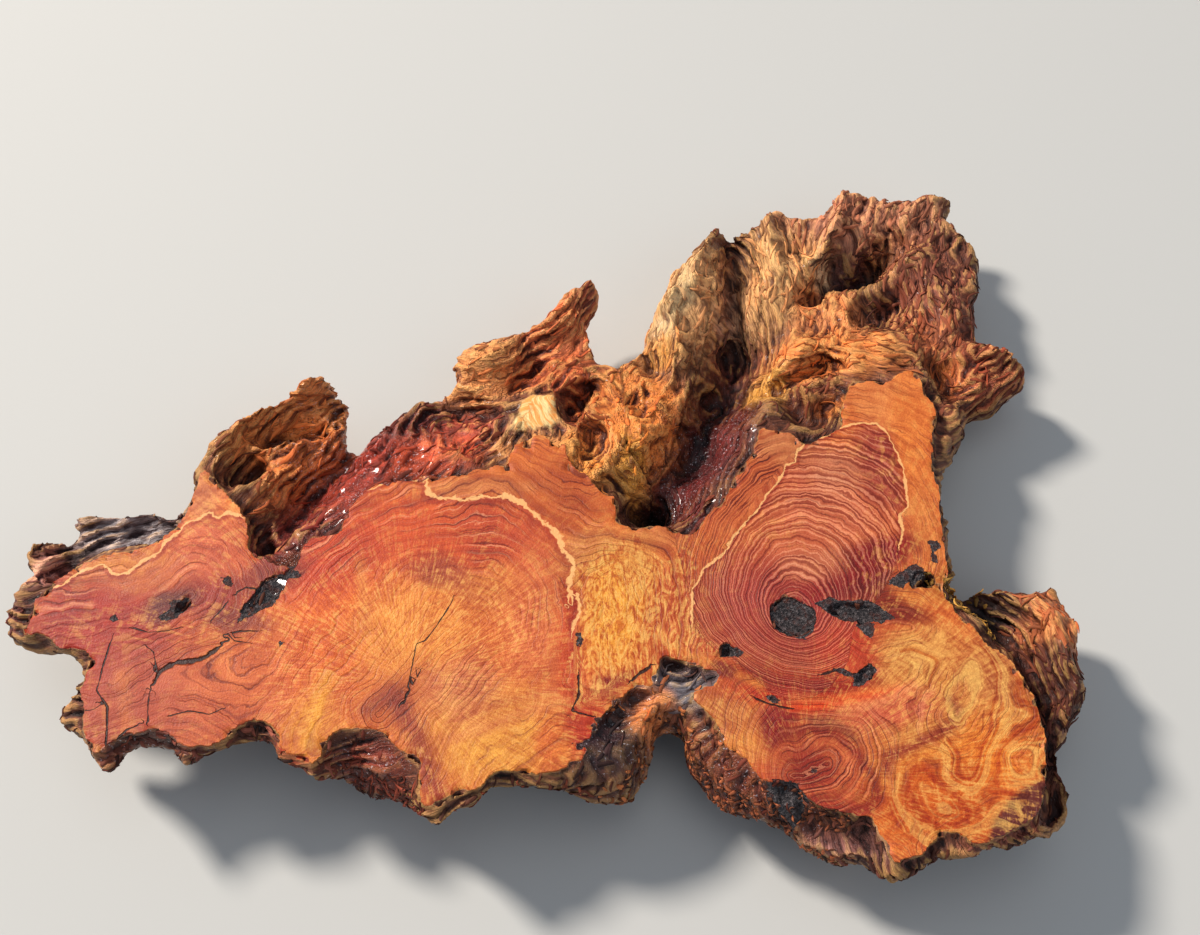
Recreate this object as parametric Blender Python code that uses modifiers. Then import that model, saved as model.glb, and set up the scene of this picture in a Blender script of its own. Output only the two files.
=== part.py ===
"""A redwood burl: one grown lump of root burl, sawn flat on top and lying on its rounded, lumpy underside.

Run with: blender --background --python part.py
The lump starts as its plan outline, filled and extruded. It is remeshed, each point is carried to its
height between a belly and a natural top, and a saw cut and the ground trim it flat.
X runs along the long side, Y away from the front edge, Z up from the ground. Metres.
"""

import math

import bpy
import numpy as np
from mathutils import Vector, noise

MM = 0.001

# Driving dimensions
SAWN_HEIGHT = 100 * MM  # the saw cut above the ground
GRAIN_OF_MODEL = 5 * MM  # spacing of the points that the lump is shaped from
MOST_TRIANGLES = 11400
FRAME_SHIFT = (45 * MM, 6 * MM)  # carries the drawing's zero to the middle of the lump's box

# Side wall of the lump: how far it stands above and below its widest line
WALL_UP = 8 * MM
WALL_DOWN = 8 * MM
SHOULDER_RADIUS = 62 * MM  # roundness of the natural top above the wall
HEEL_RADIUS = 24 * MM  # roundness of the underside below the wall
BELLY_REACH = 120 * MM  # how far in from the outline the underside reaches the ground
BELLY_CLEARANCE = 9 * MM  # the underside's height over the ground between its feet
LUMP_SIZE = 70 * MM
LUMP_HEIGHT = 7 * MM
BULGE_SIZE = 26 * MM
BULGE_HEIGHT = 6 * MM
SHRINK = 3 * MM  # how far the surface draws in, to leave room for its bulges
SMOOTHINGS_BELOW = 6  # rounds of smoothing that the underside gets

# The rough, unsawn top: how far it lies below the saw cut
ROUGH_STEP = 4 * MM
ROUGH_FALL = 26 * MM
ROUGH_FALL_REACH = 90 * MM
RELIEF_STRENGTH = 1.25  # scales the ridges and hollows listed below
FOLD_SIZE = 26 * MM
FOLD_HEIGHT = 13 * MM
FOLD_TURN = 58  # degrees from X in which the weathered folds run
SAWN_ALLOWANCE = 14 * MM  # the natural wood that stood above the saw cut

# The lump's outline seen from above: x, y and the height of its widest line, in millimetres, clockwise
# from the left tip
BODY_OUTLINE = [
    (-486, -134, 75), (-482, -114, 75), (-474, -98, 70), (-487, -62, 55), (-474, -45, 52), (-456, -52, 50),
    (-447, -46, 48), (-461, -28, 45), (-438, -21, 45), (-415, -21, 45), (-386, -17, 45), (-370, -26, 52),
    (-352, -22, 78), (-351, 9, 75), (-345, 37, 65), (-328, 56, 65), (-308, 74, 65), (-288, 92, 62),
    (-270, 102, 60), (-250, 116, 62), (-240, 108, 60), (-237, 96, 58), (-224, 97, 56), (-226, 73, 55),
    (-222, 46, 50), (-203, 52, 55), (-189, 67, 60), (-177, 84, 60), (-164, 94, 60), (-146, 102, 58),
    (-136, 105, 58), (-141, 130, 62), (-128, 143, 64), (-112, 154, 65), (-91, 158, 64), (-73, 165, 62),
    (-58, 180, 62), (-45, 190, 62), (-31, 206, 64), (-17, 218, 64), (-4, 221, 64), (2, 210, 60),
    (-3, 200, 52), (-8, 182, 50), (-5, 158, 48), (5, 136, 48), (22, 133, 52), (35, 148, 58),
    (40, 169, 60), (50, 192, 60), (60, 210, 60), (65, 230, 62), (82, 246, 62), (92, 263, 62),
    (104, 280, 64), (114, 290, 64), (126, 280, 62), (146, 285, 62), (158, 300, 64), (172, 309, 64),
    (190, 304, 62), (206, 305, 62), (222, 314, 64), (237, 328, 66), (258, 330, 64), (284, 325, 62),
    (312, 324, 62), (332, 328, 60), (346, 328, 58), (352, 317, 54), (340, 305, 52), (348, 290, 54),
    (364, 276, 54), (371, 262, 52), (369, 236, 50), (364, 205, 48), (360, 176, 46), (362, 154, 46),
    (380, 147, 48), (395, 134, 48), (396, 118, 46), (385, 103, 44), (370, 91, 42), (352, 85, 42),
    (338, 80, 44), (331, 64, 50), (326, 45, 55), (312, 24, 62), (302, 6, 68), (298, -20, 72),
    (297, -52, 76), (295, -82, 76), (304, -96, 66), (322, -96, 50), (342, -97, 52), (362, -97, 55),
    (377, -90, 55), (388, -102, 52), (397, -122, 50), (396, -148, 50), (392, -163, 50), (397, -181, 50),
    (393, -198, 52), (380, -214, 54), (368, -236, 56), (360, -256, 58), (366, -276, 60), (358, -296, 66),
    (340, -308, 80), (312, -320, 90), (290, -325, 94), (268, -327, 94), (250, -327, 92), (236, -341, 90),
    (218, -346, 88), (203, -338, 76), (196, -328, 62), (175, -326, 54), (158, -316, 56), (146, -306, 62),
    (128, -295, 62), (108, -288, 58), (92, -277, 54), (78, -264, 52), (68, -248, 54), (54, -220, 60),
    (44, -238, 58), (36, -258, 52), (24, -274, 50), (2, -280, 52), (-18, -276, 62), (-32, -274, 82),
    (-50, -276, 92), (-68, -278, 94), (-82, -273, 94), (-91, -291, 94), (-104, -294, 94), (-122, -301, 92),
    (-140, -293, 82), (-154, -278, 56), (-176, -271, 48), (-196, -263, 50), (-208, -264, 80), (-218, -272, 90),
    (-228, -261, 92), (-245, -255, 92), (-253, -239, 90), (-268, -237, 92), (-290, -246, 94), (-304, -253, 94),
    (-316, -263, 92), (-328, -247, 90), (-342, -238, 88), (-356, -241, 88), (-371, -262, 90), (-386, -258, 84),
    (-399, -241, 78), (-410, -229, 66), (-430, -214, 56), (-428, -199, 60), (-412, -192, 80), (-411, -178, 88),
    (-415, -172, 88), (-428, -167, 86), (-446, -164, 84), (-466, -160, 80), (-480, -150, 76),
]

# The sawn face's outline in millimetres, clockwise from the left tip
SAWN_OUTLINE = [
    (-461, -148), (-456, -142), (-453, -134), (-456, -126), (-450, -116), (-440, -102), (-426, -89),
    (-412, -82), (-386, -81), (-372, -73), (-362, -62), (-352, -55), (-344, -42), (-343, -20), (-338, -3),
    (-326, -7), (-318, -18), (-312, -29), (-298, -38), (-291, -50), (-286, -66), (-288, -81), (-276, -82),
    (-262, -92), (-250, -104), (-244, -92), (-245, -76), (-234, -64), (-219, -62), (-211, -48), (-203, -31),
    (-190, -20), (-174, -13), (-160, -10), (-148, -6), (-138, -8), (-120, -6), (-104, -2), (-90, 3),
    (-80, 6), (-74, 22), (-60, 33), (-46, 32), (-38, 18), (-24, 5), (-10, -12), (4, -24),
    (14, -26), (17, -40), (21, -52), (42, -54), (60, -58), (73, -62), (83, -54), (96, -36),
    (110, -18), (122, 2), (131, 20), (138, 38), (152, 38), (166, 33), (177, 24), (190, 34),
    (208, 40), (213, 56), (215, 76), (223, 88), (244, 92), (256, 86), (265, 96), (276, 99),
    (286, 86), (292, 68), (293, 46), (288, 22), (284, -8), (284, -40), (283, -66), (286, -90),
    (284, -104), (276, -112), (284, -130), (298, -146), (310, -160), (324, -172), (334, -186), (338, -204),
    (342, -224), (341, -246), (338, -266), (332, -282), (318, -300), (298, -313), (274, -318), (262, -309),
    (248, -314), (232, -328), (214, -332), (203, -322), (200, -302), (182, -298), (160, -294), (148, -281),
    (138, -273), (120, -272), (106, -262), (98, -248), (90, -236), (78, -219), (68, -205), (88, -195),
    (93, -186), (76, -181), (60, -176), (48, -170), (46, -186), (40, -199), (28, -200), (18, -208),
    (8, -216), (-4, -232), (-20, -241), (-28, -258), (-44, -265), (-64, -266), (-80, -262), (-86, -274),
    (-100, -281), (-114, -286), (-126, -290), (-140, -283), (-149, -264), (-157, -247), (-172, -240), (-188, -233),
    (-205, -233), (-210, -248), (-216, -260), (-226, -252), (-242, -246), (-248, -234), (-262, -225), (-280, -232),
    (-298, -242), (-314, -248), (-326, -239), (-342, -231), (-362, -238), (-378, -250), (-392, -240), (-399, -224),
    (-403, -200), (-402, -172), (-412, -164), (-426, -165), (-440, -155), (-456, -158),
]

# Hollows (plus) and ridges (minus) of the rough top: a path in millimetres, its half width, and how
# far it goes below or above the wood around it
RELIEF = [
    # the left lobe: its raised far rim, its holes and the gully beside it
    ([(-340, 30), (-305, 72), (-262, 104), (-246, 116)], 13, -14),
    ([(-312, 0), (-304, 14)], 11, 26),
    ([(-292, 44), (-270, 60), (-256, 58)], 11, 26),
    ([(-296, 34), (-262, 40), (-236, 44)], 8, -9),
    ([(-286, -58), (-252, -14), (-224, 34)], 17, 24),
    ([(-236, 70), (-240, 86)], 8, 10),
    # the red slope and the hump behind it
    ([(-206, 10), (-178, 50)], 14, -6),
    ([(-168, 60), (-150, 74)], 12, 6),
    ([(-122, 122), (-92, 136)], 20, -10),
    ([(-150, 96), (-118, 78), (-96, 70)], 8, 12),
    # the spike, the clean broken step and the crevices beside it
    ([(-52, 160), (-30, 186), (-6, 216)], 11, -13),
    ([(-64, 62), (-44, 74)], 15, -6),
    ([(-26, 62), (-22, 84), (-12, 104)], 8, 18),
    ([(-10, 20), (-2, 44)], 8, 10),
    ([(-74, 104), (-60, 128)], 9, 12),
    # the hanging curtain and the tall ridge, left of the dark gully
    ([(20, 70), (44, 40), (58, 12)], 18, -9),
    ([(62, 200), (84, 214), (104, 262)], 18, -15),
    ([(66, 140), (70, 176)], 14, -8),
    ([(44, 130), (54, 118)], 10, 10),
    # the dark gully
    ([(128, 262), (133, 206), (128, 160)], 13, 22),
    ([(132, 150), (118, 110), (98, 64), (70, 14), (44, -22)], 25, 40),
    ([(36, -28), (44, -20)], 12, 14),
    # the right lobe: ridges, the two caves, the fibrous hollow and the torn edge by the saw cut
    ([(160, 290), (168, 236), (156, 186)], 15, -13),
    ([(164, 132), (186, 142)], 14, -8),
    ([(198, 262), (216, 246), (232, 252)], 9, 14),
    ([(220, 232), (252, 240), (278, 262)], 12, 30),
    ([(196, 205), (208, 214)], 9, 22),
    ([(240, 318), (226, 276), (206, 244)], 11, -12),
    ([(262, 318), (300, 306), (336, 322)], 13, -9),
    ([(262, 190), (282, 206)], 20, 16),
    ([(300, 240), (318, 200), (322, 160)], 18, -9),
    ([(156, 98), (196, 116), (208, 122)], 8, 16),
    ([(180, 60), (192, 68)], 10, 14),
    ([(206, 76), (200, 62)], 7, 12),
    ([(230, 130), (262, 140)], 16, -8),
    ([(310, 112), (320, 96)], 14, 22),
    ([(346, 134), (378, 132)], 11, -13),
    # the bark strip beside the sawn face and the bark lobe on the right
    ([(300, 70), (310, 40), (300, 10)], 14, 12),
    ([(306, -104), (322, -124), (344, -158), (354, -188)], 15, 34),
    ([(352, -112), (366, -128), (372, -150)], 14, -10),
    ([(372, -176), (374, -196)], 12, -9),
    ([(352, -196), (350, -210)], 9, 14),
    ([(356, -226), (350, -262), (344, -288)], 14, 22),
    # the bark slab, the knob and the chips on the left
    ([(-446, -62), (-410, -50), (-372, -44)], 20, 26),
    ([(-476, -62), (-470, -84)], 12, 6),
    ([(-450, -80), (-456, -92)], 8, 18),
    ([(-424, -206), (-408, -214)], 12, 14),
    ([(-352, -244), (-334, -246)], 12, 14),
    # the bark chunk below the front edge
    ([(158, -306), (192, -312)], 14, 18),
]

# Pits in the sawn face: centre, half length, half width in millimetres, turn in degrees, and depth
FACE_PITS = [
    ((155, -138), 17, 12, -10, 17),
    ((206, -134), 24, 7, -4, 8),
    ((207, -186), 12, 6, 45, 9),
    ((101, -166), 9, 5, -15, 6),
    ((131, -206), 7, 4, -35, 8),
    ((-272, -120), 24, 6, 48, 12),
    ((-336, -128), 9, 5, 35, 7),
    ((262, -106), 10, 6, 20, 7),
    ((-30, -178), 3, 9, 0, 3),
]

# Feet that the lump rests on: centre in millimetres; each is a low spot that the ground trims flat
FEET = [(-330, -130), (250, -170), (170, 170)]
FOOT_RADIUS = 46 * MM
FOOT_DEPTH = 28 * MM


def smooth_loop(points, step):
    """A closed Catmull-Rom curve through the points, read every step metres."""
    corners = np.array(points, float) * MM
    made = []
    for i in range(len(corners)):
        a, b, c, d = (corners[(i + k - 1) % len(corners)] for k in range(4))
        count = max(1, round(float(np.linalg.norm((c - b)[:2])) / step))
        for t in np.arange(count) / count:
            made.append(
                0.5 * (2 * b + (c - a) * t + (2 * a - 5 * b + 4 * c - d) * t**2 + (3 * b - a - 3 * c + d) * t**3)
            )
    return np.array(made)


def nearest_on_line(places, line, closed):
    """For each place, its distance to the line and the line's own row there."""
    starts = line if closed else line[:-1]
    ends = np.roll(line, -1, axis=0) if closed else line[1:]
    best = np.full(len(places), np.inf)
    rows = np.zeros((len(places), line.shape[1]))
    for a, b in zip(starts, ends):
        run = (b - a)[:2]
        share = np.clip((places - a[:2]) @ run / max(run @ run, 1e-12), 0, 1)
        off = np.hypot(*(places - a[:2] - share[:, None] * run).T)
        nearer = off < best
        best[nearer] = off[nearer]
        rows[nearer] = (a + share[:, None] * (b - a))[nearer]
    return best, rows


def inside(places, loop):
    """Whether each place lies inside the closed loop."""
    x, y = places.T
    crossed = np.zeros(len(places), bool)
    for (x0, y0), (x1, y1) in zip(loop[:, :2], np.roll(loop, -1, axis=0)[:, :2]):
        spans = (y0 > y) != (y1 > y)
        with np.errstate(divide="ignore", invalid="ignore"):
            crossed ^= spans & (x < (x1 - x0) * (y - y0) / (y1 - y0) + x0)
    return crossed


def depth_inside(places, loop):
    """Distance to the loop, plus inside and minus outside, with the loop's own row nearest to each place."""
    off, rows = nearest_on_line(places, loop, closed=True)
    return np.where(inside(places, loop), off, -off), rows


def smooth_step(share):
    share = np.clip(share, 0, 1)
    return share * share * (3 - 2 * share)


def lumps(places, size, octaves=3):
    """Smooth noise of about one unit up and down, with lumps of that size, at places in the plan."""
    return np.array([noise.fractal(Vector((x / size, y / size, 0.37)), 1.0, 2.0, octaves) for x, y in places])


def folds(places, size, stretch, turn):
    """Ridged noise from 0 to about 1, drawn out along a direction, as the weathered wood is."""
    c, s = math.cos(math.radians(turn)), math.sin(math.radians(turn))
    along, across = places @ (c, s), places @ (-s, c)
    return np.array(
        [
            noise.ridged_multi_fractal(Vector((a / (size * stretch), b / size, 1.7)), 1.0, 2.1, 3, 0.9, 2.0)
            for a, b in zip(along, across)
        ]
    ) * 0.5


def relief(places):
    """The hollows less the ridges, in metres, at places in the plan."""
    total = np.zeros(len(places))
    for path, half_width, amount in RELIEF:
        off, _ = nearest_on_line(places, np.array(path, float) * MM, closed=False)
        total += amount * MM * np.exp(-((off / (half_width * MM)) ** 2))
    return total * RELIEF_STRENGTH


def pits(places):
    """How deep the pits in the sawn face go below the wood, in metres."""
    total = np.zeros(len(places))
    for centre, half_length, half_width, turn, depth in FACE_PITS:
        c, s = math.cos(math.radians(turn)), math.sin(math.radians(turn))
        off = places - np.array(centre) * MM
        reach = np.hypot(off @ (c, s) / (half_length * MM), off @ (-s, c) / (half_width * MM))
        total = np.maximum(total, (depth * MM + SAWN_ALLOWANCE) * smooth_step((1.25 - reach) / 0.6))
    return total


def natural_top(places, depth_in_body, widest):
    """Height of the grown, unsawn top."""
    depth_in_face, _ = depth_inside(places, smooth_loop(SAWN_OUTLINE, 4 * MM))
    outside = np.clip(-depth_in_face, 0, None)
    shoulder = widest + WALL_UP + np.sqrt(np.clip(depth_in_body, 0, None) * SHOULDER_RADIUS)
    texture = folds(places, FOLD_SIZE, 2.6, FOLD_TURN) * FOLD_HEIGHT + lumps(places, 34 * MM) * 4 * MM
    below = ROUGH_STEP + ROUGH_FALL * smooth_step(outside / ROUGH_FALL_REACH) + relief(places)
    below = np.clip(below - texture * smooth_step(outside / (14 * MM)), 2 * MM, 78 * MM)
    edge = smooth_step((depth_in_face + 3 * MM) / (6 * MM))
    level = SAWN_HEIGHT - below * (1 - edge) + SAWN_ALLOWANCE * edge - pits(places) * edge
    return np.minimum(shoulder, level)


def belly(places, depth_in_body, widest):
    """Height of the rounded underside, with its feet below the ground, to be trimmed."""
    share = np.clip(1 - depth_in_body / BELLY_REACH, 0, 1)
    lift = (widest - WALL_DOWN - BELLY_CLEARANCE) * share**1.7
    heel = widest - WALL_DOWN - np.sqrt(np.clip(depth_in_body, 0, None) * HEEL_RADIUS)
    lift = np.clip(np.minimum(lift, heel - BELLY_CLEARANCE), 0, None)
    lumpy = lumps(places, LUMP_SIZE) * LUMP_HEIGHT * smooth_step(depth_in_body / (40 * MM))
    foot = np.zeros(len(places))
    for centre in FEET:
        off = np.hypot(*(places - np.array(centre) * MM).T)
        foot = np.maximum(foot, FOOT_DEPTH * smooth_step(1 - off / (1.6 * FOOT_RADIUS)))
    return np.maximum(BELLY_CLEARANCE + lift + lumpy, 4 * MM) - foot


def blank():
    """The outline filled and extruded, as a mesh of even, closely spaced points. Its height is 1 wall high."""
    curve = bpy.data.curves.new("outline", "CURVE")
    curve.dimensions = "2D"
    curve.fill_mode = "BOTH"
    curve.extrude = (WALL_UP + WALL_DOWN) / 2
    loop = smooth_loop(BODY_OUTLINE, GRAIN_OF_MODEL)
    spline = curve.splines.new("POLY")
    spline.points.add(len(loop) - 1)
    for point, (x, y, _) in zip(spline.points, loop):
        point.co = (x, y, 0, 1)
    spline.use_cyclic_u = True
    guide = bpy.data.objects.new("outline", curve)
    bpy.context.scene.collection.objects.link(guide)
    solid = bpy.data.objects.new("burl", evaluated_mesh(guide))
    bpy.context.scene.collection.objects.link(solid)
    bpy.data.objects.remove(guide)
    remesh = solid.modifiers.new("even points", "REMESH")
    remesh.mode = "VOXEL"
    remesh.voxel_size = GRAIN_OF_MODEL
    solid.data = evaluated_mesh(solid)
    solid.modifiers.clear()
    return solid


def evaluated_mesh(thing):
    bpy.context.view_layer.update()
    return bpy.data.meshes.new_from_object(thing.evaluated_get(bpy.context.evaluated_depsgraph_get()))


def shape(solid):
    """Carries each point of the blank to its place between the belly and the natural top."""
    co = np.empty(len(solid.data.vertices) * 3)
    solid.data.vertices.foreach_get("co", co)
    co = co.reshape(-1, 3)
    places = co[:, :2].copy()
    depth_in_body, rows = depth_inside(places, smooth_loop(BODY_OUTLINE, GRAIN_OF_MODEL))
    widest = rows[:, 2]
    half = (WALL_UP + WALL_DOWN) / 2
    share = np.clip((co[:, 2] + half) / (2 * half), 0, 1)
    top = natural_top(places, depth_in_body, widest)
    low = np.minimum(belly(places, depth_in_body, widest), top - 8 * MM)
    co[:, 2] = low + (top - low) * share
    co[:, :2] += FRAME_SHIFT
    solid.data.vertices.foreach_set("co", co.ravel())
    solid.data.update()
    for vertex, normal in zip(solid.data.vertices, solid.data.vertex_normals):
        vertex.co += normal.vector * (BULGE_HEIGHT * noise.noise(vertex.co / BULGE_SIZE) - SHRINK)
    below = solid.vertex_groups.new(name="underside")
    below.add(np.flatnonzero((share < 0.45) & (low > 1 * MM)).tolist(), 1.0, "REPLACE")
    even_out = solid.modifiers.new("worn underside", "SMOOTH")
    even_out.vertex_group = below.name
    even_out.iterations = SMOOTHINGS_BELOW
    solid.data = evaluated_mesh(solid)
    solid.modifiers.clear()


def cutter(name, low, high):
    """A box between two heights, wider than the lump, that trims it flat."""
    bpy.ops.mesh.primitive_cube_add(size=1, location=(0, 0, (low + high) / 2), scale=(1.4, 1.2, high - low))
    box = bpy.context.object
    box.name = name
    box.hide_render = True
    box.display_type = "WIRE"
    return box


def trim(solid, box):
    cut = solid.modifiers.new(box.name, "BOOLEAN")
    cut.operation = "DIFFERENCE"
    cut.object = box
    solid.data = evaluated_mesh(solid)
    solid.modifiers.clear()
    bpy.data.objects.remove(box)


def thin_out(solid):
    """Keeps the triangles where the shape needs them."""
    solid.data.calc_loop_triangles()
    fewer = solid.modifiers.new("fewer faces", "DECIMATE")
    fewer.ratio = MOST_TRIANGLES / len(solid.data.loop_triangles)
    fewer.use_collapse_triangulate = True
    solid.data = evaluated_mesh(solid)
    solid.modifiers.clear()


def wood():
    material = bpy.data.materials.new("redwood")
    material.use_nodes = True
    shader = material.node_tree.nodes["Principled BSDF"]
    shader.inputs["Base Color"].default_value = (0.55, 0.17, 0.06, 1)
    shader.inputs["Roughness"].default_value = 0.45
    shader.inputs["Metallic"].default_value = 0.0
    return material


def main():
    for thing in list(bpy.data.objects):
        bpy.data.objects.remove(thing)
    solid = blank()
    shape(solid)
    thin_out(solid)
    trim(solid, cutter("saw_cut", SAWN_HEIGHT, SAWN_HEIGHT + 0.1))
    trim(solid, cutter("ground", -0.1, 0.0))
    solid.data.materials.clear()
    solid.data.materials.append(wood())
    solid.name = "burl"
    group = bpy.data.collections.new("redwood_burl")
    bpy.context.scene.collection.children.link(group)
    bpy.context.scene.collection.objects.unlink(solid)
    group.objects.link(solid)


main()
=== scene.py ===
"""Dressed model of a redwood burl: a lump of root burl with one sawn, wetted face, lying on a pale floor.

The file is laid out as an add-on and run as a script. The wood is one piece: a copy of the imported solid,
remeshed finely, whose unsawn surface is worked into strands, folds and pits. What its finish needs to know
about a place (its tint, its growth rings, the bark that it grew round) is worked out by formula for each
point and kept in attributes, which the material reads.
Plan positions are in millimetres from the drawing's zero, X along the long side and Y away from the camera.
"""

import math

import bpy
import numpy as np
from bpy.props import FloatProperty, FloatVectorProperty, IntProperty, PointerProperty
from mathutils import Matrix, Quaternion, Vector, kdtree, noise


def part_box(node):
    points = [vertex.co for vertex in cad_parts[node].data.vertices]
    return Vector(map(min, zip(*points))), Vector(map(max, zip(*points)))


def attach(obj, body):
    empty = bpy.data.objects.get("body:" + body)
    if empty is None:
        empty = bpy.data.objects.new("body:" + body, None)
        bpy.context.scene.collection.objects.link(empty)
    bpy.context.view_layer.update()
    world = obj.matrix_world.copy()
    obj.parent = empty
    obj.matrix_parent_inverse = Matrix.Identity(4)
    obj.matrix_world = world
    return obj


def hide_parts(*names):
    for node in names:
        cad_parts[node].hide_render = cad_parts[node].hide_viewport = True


bl_info = {
    "name": "Redwood Burl",
    "version": (1, 0, 0),
    "blender": (4, 5, 0),
    "location": "View3D > Sidebar > Burl",
    "description": "Builds the look of a sawn redwood burl round its packed solid",
    "category": "Object",
}

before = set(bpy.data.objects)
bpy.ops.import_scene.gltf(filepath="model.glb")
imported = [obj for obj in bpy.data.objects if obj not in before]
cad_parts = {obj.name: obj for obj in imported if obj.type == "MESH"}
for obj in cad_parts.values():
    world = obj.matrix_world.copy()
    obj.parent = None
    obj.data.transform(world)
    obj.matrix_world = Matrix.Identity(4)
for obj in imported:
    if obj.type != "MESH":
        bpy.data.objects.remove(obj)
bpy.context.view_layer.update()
LOW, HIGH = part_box("burl")

MM = 0.001
SAWN_HEIGHT = HIGH.z

# Where the drawing's zero lies, in millimetres from the low corner of the solid's box
ZERO_IN_BOX = (484.5, 344)
PLAN_ZERO = (LOW.x + ZERO_IN_BOX[0] * MM, LOW.y + ZERO_IN_BOX[1] * MM)

# How far below the sawn face a point of the mesh still counts as sawn
SAWN_EDGE = 1.3 * MM

# Sizes of the relief along and across the strands, in millimetres, and the spacing of its steps
FOLD_SIZE = (56, 20, 1)
STRAND_SIZE = (30, 8, 1)
CHIP_SIZE = (15, 4.6, 1)
STEP_SPACING = 10.5

# Growth centres of the rings: place, and how much their rings are held back where two growths meet
LEFT_GROWTHS = [
    ([(-176, -222), (-152, -190), (-112, -135)], 0), ([(-445, -152), (-395, -142), (-335, -116)], 30),
    ([(-350, -300), (-322, -284)], 4), ([(6, -182), (12, -112)], 62),
]
LOW_GROWTHS = [
    ([(152, -264), (172, -260)], 0), ([(262, -222), (282, -196)], 26), ([(215, -152), (240, -146)], 34),
    ([(250, -322), (300, -300)], 40),
]
EYE_CENTRE = (152, -140)
EYE_POINTS_TO = (0.38, 0.92)
EYE_STRETCH = 0.53
RING_BLEND = 11

# Outlines of the parts of the sawn face whose rings run their own way
EYE_REGION = [
    (145, -208), (130, -200), (122, -190), (110, -178), (95, -170), (80, -155), (74, -140), (76, -115),
    (85, -95), (100, -82), (115, -60), (135, -35), (155, -8), (157, 0), (165, 5), (168, 15), (180, 28),
    (195, 32), (203, 38), (220, 42), (240, 44), (247, 35), (253, 20), (257, 0), (258, -20), (257, -38),
    (250, -45), (250, -60), (247, -72), (240, -95), (225, -120), (200, -150), (195, -175), (180, -195),
    (165, -205),
]
BAND_REGION = [
    (60, -60), (80, -52), (112, -14), (131, 20), (142, 38), (170, 44), (215, 80), (225, 92), (262, 96),
    (290, 92), (296, 30), (292, -95), (262, -110), (240, -95), (250, -60), (257, -38), (257, 0), (240, 46),
    (168, 20), (130, -30), (96, -84), (72, -118),
]
LOW_REGION = [
    (100, -168), (122, -192), (145, -208), (165, -205), (180, -195), (195, -175), (200, -150), (225, -120),
    (240, -95), (262, -108), (300, -90), (370, -150), (370, -340), (130, -340), (60, -205), (76, -185),
]
CURLY_REGION = [
    (-22, -92), (-17, -120), (-20, -150), (-21, -180), (-18, -215), (0, -205), (16, -188), (30, -205),
    (50, -180), (70, -172), (100, -168), (84, -155), (74, -140), (72, -118), (84, -96), (70, -66),
    (58, -92), (44, -80), (30, -62), (6, -70),
]
CURLY_CORNER = [
    (230, -156), (270, -147), (314, -170), (341, -207), (340, -255), (301, -308), (241, -322), (210, -298),
    (222, -268), (262, -240), (268, -206), (246, -186),
]

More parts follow.
